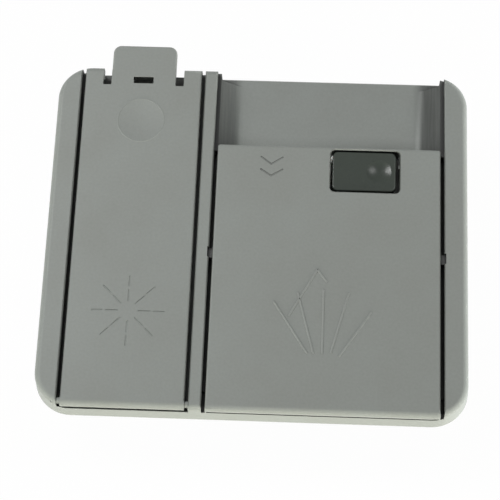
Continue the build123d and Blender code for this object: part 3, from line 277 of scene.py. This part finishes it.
class FinishShop:
    """Makes materials from finishes.

    Each bound of the zone of painted wall shade names its axis, where the zone is bare, where it is full, and the
    share it has there, in metres in the housing's frame.
    """

    SCATTER = 0.002
    # Painted shade on the ramp's side walls, the right wall darker than the left.
    WALL_SHADE_SIDES: dict[str, Bound] = {"left": ("X", -0.0085, -0.0135, 0.7), "right": ("X", 0.0665, 0.0735, 1.0)}
    WALL_SHADE_LIMITS: dict[str, Bound] = {
        "rail": ("X", -0.0206, -0.0203, 1.0), "column": ("X", 0.0809, 0.0806, 1.0),
        "ramp": ("Y", 0.0405, 0.0425, 1.0), "under": ("Z", 0.0123, 0.0119, 1.0),
        "front": ("Z", 0.0010, 0.0020, 1.0)}
    WALL_SHADE_LEAST = 0.82
    STREAK_RUN = (1.0, 0.04, 1.0)
    STREAK_SCALE = 900.0
    STREAK_SPAN = (0.35, 0.65)

    def __init__(self) -> None:
        """Takes the shared effects."""
        self.effects = EffectGroups()

    def make(self, finish: Finish) -> bpy.types.Material:
        """Builds the material of one finish.

        Args:
            finish: The finish to make.

        Returns:
            The new material.
        """
        material = bpy.data.materials.new(finish.label)
        material.use_nodes = True
        bench = NodeBench(material.node_tree)
        coords = bench.put("ShaderNodeTexCoord")
        tone = bench.put("ShaderNodeGroup", node_tree=self.effects.tone())
        relief = bench.put("ShaderNodeGroup", node_tree=self.effects.relief())
        for group in (tone, relief):
            bench.tree.links.new(coords.outputs["Object"], group.inputs["Vector"])
        values = {"Color": (*finish.color, 1.0), "Drift": (*finish.drift, 1.0), "Scale": finish.cloud_scale,
                  "Fleck": finish.fleck, "Roughness": finish.roughness, "Spread": finish.rough_spread}
        for key, value in values.items():
            tone.inputs[key].default_value = value
        relief.inputs["Run"].default_value = finish.grain.value
        relief.inputs["Scale"].default_value = finish.grain_scale
        bump = bench.put("ShaderNodeBump", {"Height": relief.outputs["Height"], "Strength": finish.bump,
                                            "Distance": finish.grain_depth})
        color = tone.outputs["Color"]
        # Painted shade on the ramp's side walls.
        if finish.wall_shade > 0.0:
            color = self._shade_walls(bench, coords.outputs["Object"], color, finish.wall_shade)
        # Painted shade in corners, gaps and recesses.
        if finish.shade_reach > 0.0:
            recess = bench.put("ShaderNodeGroup", node_tree=self.effects.recess())
            bench.tree.links.new(color, recess.inputs["Color"])
            recess.inputs["Reach"].default_value = finish.shade_reach
            recess.inputs["Deepest"].default_value = finish.shade_deepest
            color = recess.outputs["Color"]
        shader = bench.put("ShaderNodeBsdfPrincipled", {
            "Base Color": color, "Roughness": tone.outputs["Roughness"],
            "Normal": bump.outputs["Normal"], "Metallic": finish.metallic, "Coat Weight": finish.coat,
            "Specular IOR Level": finish.specular,
            "Subsurface Weight": finish.subsurface, "Subsurface Scale": self.SCATTER})
        bench.put("ShaderNodeOutputMaterial", {"Surface": shader.outputs["BSDF"]})
        return material

    def _shade_walls(self, bench: NodeBench, vector: bpy.types.NodeSocket, color: bpy.types.NodeSocket,
                wall_shade: float) -> bpy.types.NodeSocket:
        """Paints shade on the ramp's side walls, darker on the right wall than the left, in streaks along the slide.

        Args:
            bench: The material's bench.
            vector: Object coordinates.
            color: The colour before the rubbing.
            wall_shade: How much of the colour the painted shade takes where it is darkest.

        Returns:
            The colour with the painted wall shade.
        """
        place = bench.put("ShaderNodeSeparateXYZ", {"Vector": vector})
        masks = {}
        for name, (axis, bare, full, share) in (self.WALL_SHADE_SIDES | self.WALL_SHADE_LIMITS).items():
            masks[name] = bench.put("ShaderNodeMapRange", {"Value": place.outputs[axis], "From Min": bare,
                                                           "From Max": full, "To Max": share},
                                    interpolation_type="SMOOTHSTEP")
        shade_zone = bench.put("ShaderNodeMath", {0: masks["left"].outputs["Result"], 1: masks["right"].outputs["Result"]},
                         operation="MAXIMUM")
        for name in self.WALL_SHADE_LIMITS:
            shade_zone = bench.put("ShaderNodeMath", {0: shade_zone.outputs["Value"], 1: masks[name].outputs["Result"]},
                             operation="MULTIPLY")
        along = bench.put("ShaderNodeVectorMath", {0: vector, 1: self.STREAK_RUN}, operation="MULTIPLY")
        streaks = bench.put("ShaderNodeTexNoise", {"Vector": along.outputs["Vector"], "Scale": self.STREAK_SCALE,
                                                   "Detail": 3.0})
        low, high = self.STREAK_SPAN
        depth = bench.put("ShaderNodeMapRange", {"Value": streaks.outputs["Fac"], "From Min": low, "From Max": high,
                                                 "To Min": wall_shade * self.WALL_SHADE_LEAST, "To Max": wall_shade})
        lost = bench.put("ShaderNodeMath", {0: shade_zone.outputs["Value"], 1: depth.outputs["Result"]},
                         operation="MULTIPLY")
        kept = bench.put("ShaderNodeMath", {0: 1.0, 1: lost.outputs["Value"]}, operation="SUBTRACT")
        walls_shaded = bench.put("ShaderNodeVectorMath", {0: color, "Scale": kept.outputs["Value"]}, operation="SCALE")
        return walls_shaded.outputs["Vector"]


SHELL_GREY = Finish("shell_grey", (0.250, 0.270, 0.252), (0.240, 0.256, 0.237), 0.5, fleck=0.03, specular=0.4)
# The housing's finish paints shade into its colour: on the ramp's side walls and in its corners, gaps and recesses.
HOUSING_GREY = replace(SHELL_GREY, variant="_housing", shade_reach=0.012, shade_deepest=0.15, wall_shade=0.76)
# The lid's finish paints shade into its colour in its grooves, in the seam at its foot and beside the raised strokes.
LID_GREY = replace(SHELL_GREY, variant="_lid", shade_reach=0.003, shade_deepest=0.08)
BUTTON_GREY = Finish("button_grey", (0.050, 0.061, 0.051), (0.044, 0.054, 0.045), 0.23, fleck=0.04, specular=0.2)
INNER_GREY = Finish("inner_grey", (0.36, 0.37, 0.35), (0.33, 0.34, 0.32), 0.5)
TANK_WHITE = Finish("tank_white", (0.45, 0.46, 0.44), (0.42, 0.43, 0.40), 0.42, subsurface=0.15, cloud_scale=26.0)
SEAL_RUBBER = Finish("seal_rubber", (0.018, 0.018, 0.019), (0.028, 0.028, 0.027), 0.72, grain_scale=4200.0, bump=0.4)
VALVE_RUBBER = Finish("valve_rubber", (0.16, 0.035, 0.022), (0.12, 0.028, 0.02), 0.6, grain_scale=4200.0, bump=0.4)
SPRING_STEEL = Finish("spring_steel", (0.56, 0.56, 0.54), (0.46, 0.46, 0.45), 0.26, metallic=1.0, cloud_scale=300.0)
FRAME_STEEL = Finish("frame_steel", (0.52, 0.53, 0.52), (0.44, 0.46, 0.47), 0.36, metallic=1.0, cloud_scale=120.0,
                     grain=Grain.DRAWN_X, grain_scale=3800.0)
TURNED_STEEL = Finish("turned_steel", (0.5, 0.5, 0.5), (0.42, 0.42, 0.42), 0.3, metallic=1.0, cloud_scale=160.0,
                      grain=Grain.DRAWN_Y, grain_scale=5200.0)
TERMINAL_BRASS = Finish("terminal_brass", (0.66, 0.46, 0.16), (0.52, 0.36, 0.13), 0.3, metallic=1.0,
                        cloud_scale=240.0, grain=Grain.DRAWN_Y, grain_scale=4600.0)
COIL_COPPER = Finish("coil_copper", (0.42, 0.13, 0.045), (0.30, 0.085, 0.03), 0.24, metallic=0.85, coat=0.6,
                     cloud_scale=420.0, bump=0.1)
ACETAL_WHITE = Finish("acetal_white", (0.60, 0.60, 0.57), (0.55, 0.55, 0.52), 0.3, subsurface=0.1)
SENSOR_BLACK = Finish("sensor_black", (0.022, 0.022, 0.024), (0.03, 0.03, 0.03), 0.44)
MAGNET_DARK = Finish("magnet_dark", (0.05, 0.05, 0.053), (0.035, 0.035, 0.036), 0.55, grain_scale=5200.0, bump=0.5)


@dataclass(frozen=True)
class Stroke:
    """One straight stroke of a moulded mark, in millimetres on its panel, with its share of the mark's depth."""

    start: Point2
    end: Point2
    width: float = 0.8
    share: float = 1.0


@dataclass
class MouldedMark:
    """A mark of strokes on a panel's front face, as cutter or as raised bars.

    Attributes:
        name: The piece's name.
        strokes: The strokes of the mark.
        face_z: Height of the panel's face, in millimetres.
        depth: How deep the strokes are cut, or how high they stand, in millimetres.
        relief: Cut or raised.
        crown: How far the rounding reaches in from each side, as a share of the stroke's width.

    SUNK is how far a bar runs past the face, in depths, END_ROUND the rounding of its ends, in widths, and NEAR the
    slack, in millimetres, in finding the crown's corners.
    """

    name: str
    strokes: list[Stroke]
    face_z: float
    depth: float
    relief: Relief
    crown: float = 0.3

    SUNK = 2.0
    END_ROUND = 0.4
    END_STEPS = 4
    CROWN_STEPS = 2
    NEAR = 1e-6

    def mesh(self) -> bpy.types.Mesh:
        """Returns the mark's bars as one mesh, in the part's frame."""
        bm = bmesh.new()
        for stroke in self.strokes:
            self._bar(bm, stroke)
        bmesh.ops.recalc_face_normals(bm, faces=bm.faces)
        mesh = bpy.data.meshes.new(self.name)
        bm.to_mesh(mesh)
        bm.free()
        return mesh

    def _bar(self, bm: bmesh.types.BMesh, stroke: Stroke) -> None:
        """Adds one bar with rounded ends and a soft crown.

        Args:
            bm: The mesh to add to.
            stroke: The bar's line, width and share of the depth.
        """
        start, end = Vector(stroke.start), Vector(stroke.end)
        run = end - start
        middle = (start + end) / 2
        depth = self.depth * stroke.share
        sunk = depth * self.SUNK
        tall = depth + sunk
        low = self.face_z - (sunk if self.relief is Relief.RAISED else depth)
        made = bmesh.ops.create_cube(bm, size=1.0)
        verts = made["verts"]
        bmesh.ops.scale(bm, vec=(run.length + stroke.width, stroke.width, tall), verts=verts)
        edges = list({e for v in verts for e in v.link_edges})
        upright = [e for e in edges if abs(e.verts[0].co.z - e.verts[1].co.z) > tall / 2]
        bevelled = bmesh.ops.bevel(bm, geom=upright, offset=stroke.width * self.END_ROUND, offset_type="OFFSET",
                                   segments=self.END_STEPS, profile=0.5, affect="EDGES", material=-1)
        verts = list({v for f in bevelled["faces"] for v in f.verts} | {v for v in verts if v.is_valid})
        crown_z = tall / 2 if self.relief is Relief.RAISED else -tall / 2
        rim = [e for e in {e for v in verts for e in v.link_edges}
               if all(abs(v.co.z - crown_z) < self.NEAR for v in e.verts)]
        soft = bmesh.ops.bevel(bm, geom=rim, offset=stroke.width * self.crown, offset_type="OFFSET",
                               segments=self.CROWN_STEPS, profile=0.5, affect="EDGES", material=-1)
        verts = list({v for f in soft["faces"] for v in f.verts} | {v for v in verts if v.is_valid})
        linked = set(verts)
        for vert in verts:
            linked.update(e.other_vert(vert) for e in vert.link_edges)
        place = (Matrix.Translation((middle.x, middle.y, low + tall / 2))
                 @ Matrix.Rotation(math.atan2(run.y, run.x), 4, "Z"))
        bmesh.ops.transform(bm, matrix=Matrix.Scale(MM, 4) @ place, verts=list(linked))


class Joinery:
    """Ways of turning meshes into finished pieces.

    SHARP is the least angle of a kept corner, FLAT the angle below which faces join, MERGE a length in metres.
    """

    SHARP = math.radians(28.0)
    FLAT = math.radians(0.05)
    MERGE = 2e-6

    @staticmethod
    def piece(name: str, mesh: bpy.types.Mesh) -> bpy.types.Object:
        """Makes a new object at the origin.

        Args:
            name: The object's name.
            mesh: The mesh that it holds.

        Returns:
            The new object.
        """
        made = bpy.data.objects.new(name, mesh)
        bpy.context.scene.collection.objects.link(made)
        return made

    @classmethod
    def copy_node(cls, node: str, name: str) -> bpy.types.Object:
        """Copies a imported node's mesh with its doubles merged.

        Args:
            node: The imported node.
            name: The new piece's name.

        Returns:
            The new piece.
        """
        bm = bmesh.new()
        bm.from_mesh(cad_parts[node].data)
        bmesh.ops.remove_doubles(bm, verts=bm.verts, dist=cls.MERGE)
        bmesh.ops.dissolve_limit(bm, angle_limit=cls.FLAT, verts=bm.verts, edges=bm.edges)
        mesh = bpy.data.meshes.new(name)
        bm.to_mesh(mesh)
        bm.free()
        return cls.piece(name, mesh)

    @classmethod
    def cut(cls, target: bpy.types.Object, cutter: bpy.types.Mesh) -> None:
        """Cuts a closed mesh out of a piece.

        Args:
            target: The piece that is cut.
            cutter: The mesh to take away.
        """
        tool = cls.piece(target.name + "_cutter", cutter)
        step = target.modifiers.new("cut", "BOOLEAN")
        step.operation = "DIFFERENCE"
        step.solver = "EXACT"
        step.use_self = True
        step.object = tool
        cls.bake(target)
        bpy.data.objects.remove(tool)

    @staticmethod
    def bake(target: bpy.types.Object) -> None:
        """Applies a piece's modifiers to its mesh.

        Args:
            target: The piece.
        """
        graph = bpy.context.evaluated_depsgraph_get()
        mesh = bpy.data.meshes.new_from_object(target.evaluated_get(graph))
        target.modifiers.clear()
        target.data = mesh

    @classmethod
    def smooth(cls, target: bpy.types.Object) -> None:
        """Shades a piece smooth, with its corners kept and its flat faces flat.

        Args:
            target: The piece.
        """
        target.data.shade_smooth()
        target.data.set_sharp_from_angle(angle=cls.SHARP)
        weighted = target.modifiers.new("flat_faces", "WEIGHTED_NORMAL")
        weighted.keep_sharp = True
        cls.bake(target)

    @staticmethod
    def paint(target: bpy.types.Object, finish: Finish) -> None:
        """Gives a piece one finish all over.

        Args:
            target: The piece.
            finish: Its finish.
        """
        target.data.materials.clear()
        target.data.materials.append(finish.material())
        for polygon in target.data.polygons:
            polygon.material_index = 0


@dataclass
class SubAssembly:
    """A group of pieces that are dressed together.

    Attributes:
        body: The body that new pieces ride on.
        finishes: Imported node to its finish.
    """

    body: str = "housing"
    finishes: dict[str, Finish] = field(default_factory=dict)

    def build(self) -> list[bpy.types.Object]:
        """Builds the group's new pieces, if it has any."""
        return []

    def dress(self) -> None:
        """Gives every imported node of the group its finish."""
        for node, finish in self.finishes.items():
            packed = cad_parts[node]
            for place in packed.material_slots:
                place.material = finish.material()
            log.info("dressed %s as %s", node, finish.name)

    def stand_for(self, piece: bpy.types.Object, node: str, finish: Finish) -> bpy.types.Object:
        """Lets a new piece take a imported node's place.

        Args:
            piece: The new piece.
            node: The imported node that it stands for.
            finish: The piece's finish.

        Returns:
            The piece.
        """
        Joinery.paint(piece, finish)
        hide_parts(node)
        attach(piece, self.body)
        return piece

    @staticmethod
    def spring(node: str, axis: int, low_body: str, high_body: str) -> bpy.types.Object:
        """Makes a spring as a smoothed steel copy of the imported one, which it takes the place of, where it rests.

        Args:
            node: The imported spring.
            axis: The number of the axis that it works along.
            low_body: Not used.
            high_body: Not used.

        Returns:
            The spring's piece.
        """
        low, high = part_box(node)
        start = (low + high) / 2
        end = start.copy()
        start[axis], end[axis] = low[axis], high[axis]
        made = Joinery.copy_node(node, node + "_coil")
        Joinery.smooth(made)
        Joinery.paint(made, SPRING_STEEL)
        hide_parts(node)
        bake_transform(made)
        return made


@dataclass
class FrontHousing(SubAssembly):
    """The grey front moulding and the rubber ring behind its flange."""

    finishes: dict[str, Finish] = field(default_factory=lambda: {"housing": HOUSING_GREY, "door_gasket": SEAL_RUBBER})


@dataclass
class RinseFlap(SubAssembly):
    """The rinse-aid flap, with the sun mark cut into its face."""

    body: str = "flap"
    finishes: dict[str, Finish] = field(default_factory=lambda: {
        "rinse_flap": SHELL_GREY, "filler_seal": SEAL_RUBBER})
    face_z: float = 12.5
    sun_centre: Point2 = (-52.95, -36.0)
    sun_rings: tuple[Point2, Point2] = ((4.6, 9.2), (11.2, 15.2))
    sun_rays: int = 8
    sun_width: float = 0.8
    sun_depth: float = 0.27
    ring_share: float = 0.55

    def soften_ring(self, flap: bpy.types.Object) -> None:
        """Lowers the ring round the press mark to the worn height that it has.

        Args:
            flap: The flap's piece.
        """
        face = self.face_z * MM
        bm = bmesh.new()
        bm.from_mesh(flap.data)
        raised = [v for v in bm.verts if v.co.z > face + Joinery.MERGE]
        bmesh.ops.scale(bm, vec=(1.0, 1.0, self.ring_share), space=Matrix.Translation((0, 0, -face)), verts=raised)
        bm.to_mesh(flap.data)
        bm.free()

    def sun(self) -> MouldedMark:
        """Returns the sun mark: rays in two dashes round a bare middle."""
        strokes = []
        centre = Vector(self.sun_centre)
        for ray in range(self.sun_rays):
            angle = 2 * math.pi * ray / self.sun_rays
            out = Vector((math.cos(angle), math.sin(angle)))
            for near, far in self.sun_rings:
                strokes.append(Stroke(tuple(centre + out * near), tuple(centre + out * far), self.sun_width))
        return MouldedMark("sun_mark", strokes, self.face_z, self.sun_depth, Relief.CUT)

    def build(self) -> list[bpy.types.Object]:
        """Builds the flap with its mark."""
        flap = Joinery.copy_node("rinse_flap", "rinse_flap_marked")
        self.soften_ring(flap)
        Joinery.cut(flap, self.sun().mesh())
        Joinery.smooth(flap)
        return [self.stand_for(flap, "rinse_flap", SHELL_GREY)]


@dataclass
class DetergentLid(SubAssembly):
    """The sliding lid with its cut arrows and the raised spray fan, its liner and gasket."""

    body: str = "lid"
    finishes: dict[str, Finish] = field(default_factory=lambda: {
        "detergent_lid": LID_GREY, "lid_liner": INNER_GREY, "lid_gasket": SEAL_RUBBER,
        "button_spring": SPRING_STEEL})
    face_z: float = 12.5
    arrow_x: tuple[float, float, float] = (0.8, 5.2, 10.1)
    arrow_y: tuple[Point2, Point2] = ((36.4, 33.1), (30.6, 27.6))
    arrow_width: float = 0.75
    arrow_depth: float = 0.24
    arrow_share: float = 0.9
    fan: tuple[tuple[Point2, Point2], ...] = (
        ((8.6, -30.0), (22.9, -51.8)),
        ((18.6, -25.8), (25.6, -51.8)),
        ((29.4, -24.2), (29.4, -51.7)),
        ((40.0, -25.4), (33.0, -51.6)),
        ((49.6, -33.4), (36.6, -52.9)),
        ((15.0, -35.8), (26.6, -15.0)),
        ((26.6, -15.0), (30.5, -20.2)),
    )
    fan_width: float = 1.4
    fan_rise: float = 0.19
    fan_crown: float = 0.36
    foot_box: tuple[Point3, Point3] = ((-18.0, -79.0, 8.2), (78.3, -77.1, 9.35))
    foot_round: float = 0.2
    foot_steps: int = 3

    def arrows(self) -> MouldedMark:
        """Returns the two arrow heads that point towards the closing side."""
        left, tip, right = self.arrow_x
        strokes = []
        for high, low in self.arrow_y:
            strokes.append(Stroke((left, high), (tip, low), self.arrow_width))
            strokes.append(Stroke((tip, low), (right, high), self.arrow_width, self.arrow_share))
        return MouldedMark("arrow_mark", strokes, self.face_z, self.arrow_depth, Relief.CUT)

    def spray(self) -> MouldedMark:
        """Returns the raised fan of spray lines."""
        strokes = [Stroke(start, end, self.fan_width) for start, end in self.fan]
        return MouldedMark("spray_mark", strokes, self.face_z, self.fan_rise, Relief.RAISED, self.fan_crown)

    def foot_line(self) -> bpy.types.Mesh:
        """Returns the cutter of the shadow line where the lid's foot meets the front wall."""
        low, high = (Vector(corner) * MM for corner in self.foot_box)
        bm = bmesh.new()
        made = bmesh.ops.create_cube(bm, size=1.0)
        bmesh.ops.scale(bm, vec=high - low, verts=made["verts"])
        bmesh.ops.translate(bm, vec=(low + high) / 2, verts=made["verts"])
        inner = [e for e in bm.edges if all(v.co.y > low.y and v.co.z > low.z for v in e.verts)]
        bmesh.ops.bevel(bm, geom=inner, offset=self.foot_round * MM, offset_type="OFFSET",
                        segments=self.foot_steps, profile=0.5, affect="EDGES", material=-1)
        mesh = bpy.data.meshes.new("foot_line")
        bm.to_mesh(mesh)
        bm.free()
        return mesh

    def build(self) -> list[bpy.types.Object]:
        """Builds the lid with its arrows, and the spray fan that stands on it."""
        lid = Joinery.copy_node("detergent_lid", "detergent_lid_marked")
        Joinery.cut(lid, self.arrows().mesh())
        Joinery.cut(lid, self.foot_line())
        Joinery.smooth(lid)
        self.stand_for(lid, "detergent_lid", LID_GREY)
        fan = Joinery.piece("spray_mark", self.spray().mesh())
        Joinery.smooth(fan)
        Joinery.paint(fan, LID_GREY)
        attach(fan, self.body)
        return [lid, fan, self.spring("button_spring", 2, "lid", "button")]


@dataclass
class ReleaseButton(SubAssembly):
    """The dark rocker button."""

    body: str = "button"
    finishes: dict[str, Finish] = field(default_factory=lambda: {"release_button": BUTTON_GREY})


@dataclass
class TurningCatch(SubAssembly):
    """The turning catch with its crank, seal and clip."""

    body: str = "catch"
    finishes: dict[str, Finish] = field(default_factory=lambda: {
        "latch_rotor": ACETAL_WHITE, "latch_crank": ACETAL_WHITE, "crank_clip": SPRING_STEEL,
        "shaft_seal": SEAL_RUBBER})


@dataclass
class Actuator(SubAssembly):
    """The solenoid, its link and the turns of wire on its bobbin."""

    finishes: dict[str, Finish] = field(default_factory=lambda: {
        "solenoid_frame": FRAME_STEEL, "coil_bobbin": SENSOR_BLACK, "coil_winding": COIL_COPPER,
        "coil_terminals": TERMINAL_BRASS, "fixed_core": TURNED_STEEL, "frame_screws": FRAME_STEEL,
        "plunger": TURNED_STEEL, "plunger_spring": SPRING_STEEL, "yoke_link": ACETAL_WHITE,
        "link_pin": SPRING_STEEL})
    turns: int = 24
    wire_r: float = 0.4
    wire_sides: int = 8
    steps: int = 48
    low_turns: int = 7
    low_share: float = 0.885

    def build(self) -> list[bpy.types.Object]:
        """Builds the winding: a core with a layer of round turns on it."""
        low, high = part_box("coil_winding")
        middle = (low + high) / 2
        outer = (high.z - low.z) / 2
        wire = self.wire_r * MM
        pitch = (high.x - low.x - 2 * wire) / (self.turns - 1)
        bm = bmesh.new()
        for turn in range(self.turns):
            beside = turn >= self.turns - self.low_turns
            radius = outer * (self.low_share if beside else 1.0) - wire
            self._turn(bm, low.x + wire + turn * pitch, radius, wire)
        core_r = outer * self.low_share - wire
        core = bmesh.ops.create_cone(bm, cap_ends=True, segments=self.steps, radius1=core_r, radius2=core_r,
                                     depth=high.x - low.x - wire)
        bmesh.ops.rotate(bm, verts=core["verts"], cent=(0, 0, 0), matrix=Matrix.Rotation(math.pi / 2, 3, "Y"))
        bmesh.ops.translate(bm, verts=core["verts"], vec=(middle.x, 0, 0))
        bmesh.ops.translate(bm, verts=bm.verts, vec=(0, middle.y, middle.z))
        bmesh.ops.recalc_face_normals(bm, faces=bm.faces)
        mesh = bpy.data.meshes.new("winding_turns")
        bm.to_mesh(mesh)
        bm.free()
        winding = Joinery.piece("winding_turns", mesh)
        Joinery.smooth(winding)
        self.stand_for(winding, "coil_winding", COIL_COPPER)
        return [winding, self.spring("plunger_spring", 0, "plunger", "housing")]

    def _turn(self, bm: bmesh.types.BMesh, x: float, radius: float, wire: float) -> None:
        """Adds one turn of wire round the X axis.

        Args:
            bm: The mesh to add to.
            x: The turn's place along the axis, in metres.
            radius: The turn's middle radius, in metres.
            wire: The wire's radius, in metres.
        """
        loop = bmesh.ops.create_circle(bm, segments=self.wire_sides, radius=wire)
        verts = loop["verts"]
        bmesh.ops.translate(bm, verts=verts, vec=(x, radius, 0))
        edges = list({e for v in verts for e in v.link_edges})
        bmesh.ops.spin(bm, geom=verts + edges, cent=(x, 0, 0), axis=(1, 0, 0), angle=2 * math.pi,
                       steps=self.steps, use_merge=True, use_duplicate=False)


@dataclass
class RinseTank(SubAssembly):
    """The rinse-aid tank with its dosing valve, level float and level switch."""

    finishes: dict[str, Finish] = field(default_factory=lambda: {
        "tank_shell": TANK_WHITE, "dosing_cap": TANK_WHITE, "rod_seal": SEAL_RUBBER, "dosing_rod": ACETAL_WHITE,
        "valve_disc": VALVE_RUBBER, "valve_spring": SPRING_STEEL, "float_rod": ACETAL_WHITE,
        "level_float": ACETAL_WHITE, "float_magnet": MAGNET_DARK, "reed_sensor": SENSOR_BLACK,
        "sensor_terminals": TERMINAL_BRASS})

    def build(self) -> list[bpy.types.Object]:
        """Builds the dosing valve's spring."""
        return [self.spring("valve_spring", 0, "plunger", "housing")]


@dataclass(frozen=True)
class Softbox:
    """One rectangular lamp that looks at the object.

    Attributes:
        name: The lamp's name.
        place: Its place in metres.
        size: Its width and height in metres.
        watts: Its power.
        color: Its colour.
        mirrored: Whether it shows in reflections.
    """

    name: str
    place: Point3
    size: Point2
    watts: float
    color: Rgb = (1.0, 1.0, 1.0)
    mirrored: bool = True

    def build(self) -> bpy.types.Object:
        """Returns the lamp, aimed at the origin."""
        lamp = bpy.data.lights.new(self.name, "AREA")
        lamp.shape = "RECTANGLE"
        lamp.size, lamp.size_y = self.size
        lamp.energy = self.watts
        lamp.color = self.color
        made = bpy.data.objects.new(self.name, lamp)
        made.location = self.place
        made.visible_glossy = self.mirrored
        made.rotation_euler = (-Vector(self.place)).to_track_quat("-Z", "Y").to_euler()
        bpy.context.scene.collection.objects.link(made)
        return made


@dataclass
class Studio:
    """Floor, lamps, sky and the camera that took the view."""

    floor_half: float = 3.0
    floor_color: Rgb = (0.82, 0.82, 0.81)
    floor_glow: float = 0.98
    sky: Rgb = (0.02, 0.02, 0.02)
    eye: Point3 = (0.020193, -0.249265, 0.673513)
    tilt: Point3 = (0.3510624, 0.0342972, 0.0425031)
    lens: float = 118.8
    sensor: float = 36.0
    lamps: tuple[Softbox, ...] = (
        Softbox("stand_left", (-0.68, 0.5, 1.42), (0.5, 0.5), 16.6),
        Softbox("stand_right", (0.58, 0.5, 1.45), (0.4, 0.4), 5.0),
        Softbox("low_front", (0.0, -1.7, 0.11), (1.6, 0.2), 47.0, (1.0, 0.965, 0.87), mirrored=False),
        Softbox("low_right", (1.7, 0.0, 0.0), (1.2, 0.05), 52.0, mirrored=False),
        Softbox("low_left", (-1.7, 0.0, 0.0), (1.2, 0.05), 16.0, mirrored=False),
    )

    def build(self) -> None:
        """Builds the whole studio."""
        for lamp in self.lamps:
            lamp.build()
        self._world()
        self._floor()
        self._camera()

    @staticmethod
    def _seen(bench: NodeBench) -> bpy.types.NodeSocket:
        """Finds out which rays look straight or by reflection.

        Args:
            bench: The bench of the tree that asks.

        Returns:
            A socket that is 1 where the camera, a reflection or glass looks.
        """
        path = bench.put("ShaderNodeLightPath")
        shiny = bench.put("ShaderNodeMath", {0: path.outputs["Is Glossy Ray"],
                                             1: path.outputs["Is Transmission Ray"]}, operation="MAXIMUM")
        seen = bench.put("ShaderNodeMath", {0: path.outputs["Is Camera Ray"], 1: shiny.outputs["Value"]},
                         operation="MAXIMUM")
        return seen.outputs["Value"]

    def _world(self) -> None:
        """Makes a sky that lights softly and looks white."""
        world = bpy.data.worlds.new("soft_sky")
        world.use_nodes = True
        bench = NodeBench(world.node_tree)
        light = bench.put("ShaderNodeBackground", {"Color": (*self.sky, 1.0), "Strength": 1.0})
        white = bench.put("ShaderNodeBackground", {"Color": (1.0, 1.0, 1.0, 1.0), "Strength": 1.0})
        mixed = bench.put("ShaderNodeMixShader", {0: self._seen(bench), 1: light.outputs["Background"],
                                                  2: white.outputs["Background"]})
        bench.put("ShaderNodeOutputWorld", {"Surface": mixed.outputs["Shader"]})
        bpy.context.scene.world = world

    def _floor(self) -> None:
        """Lays a pale floor under the part, white to the camera but for the shadow."""
        bm = bmesh.new()
        bmesh.ops.create_grid(bm, x_segments=1, y_segments=1, size=self.floor_half)
        bmesh.ops.translate(bm, verts=bm.verts, vec=(0, 0, CAD_BOX[0].z))
        mesh = bpy.data.meshes.new("floor")
        bm.to_mesh(mesh)
        bm.free()
        floor = Joinery.piece("floor", mesh)
        material = bpy.data.materials.new("floor_pale")
        material.use_nodes = True
        bench = NodeBench(material.node_tree)
        matte = bench.put("ShaderNodeBsdfDiffuse", {"Color": (*self.floor_color, 1.0)})
        glow = bench.put("ShaderNodeEmission", {"Color": (1.0, 1.0, 1.0, 1.0), "Strength": 1.0})
        share = bench.put("ShaderNodeMath", {0: self._seen(bench), 1: self.floor_glow}, operation="MULTIPLY")
        mixed = bench.put("ShaderNodeMixShader", {0: share.outputs["Value"], 1: matte.outputs["BSDF"],
                                                  2: glow.outputs["Emission"]})
        bench.put("ShaderNodeOutputMaterial", {"Surface": mixed.outputs["Shader"]})
        mesh.materials.append(material)

    def _camera(self) -> None:
        """Sets the camera where the view was taken."""
        data = bpy.data.cameras.new("view")
        data.sensor_width = self.sensor
        data.lens = self.lens
        camera = bpy.data.objects.new("view", data)
        camera.location = self.eye
        camera.rotation_mode = "ZXY"
        camera.rotation_euler = Euler(self.tilt, "ZXY")
        bpy.context.scene.collection.objects.link(camera)
        bpy.context.scene.camera = camera


def main() -> None:
    """Builds and dresses every sub-assembly, then the studio."""
    logging.basicConfig(level=logging.INFO)
    bpy.context.scene.view_settings.view_transform = "Standard"
    parts: list[SubAssembly] = [FrontHousing(), RinseFlap(), DetergentLid(), ReleaseButton(), TurningCatch(),
                                Actuator(), RinseTank()]
    for part in parts:
        part.dress()
        for piece in part.build():
            log.info("built %s with %d faces", piece.name, len(piece.data.polygons))
    Studio().build()


if __name__ == "__main__":
    main()
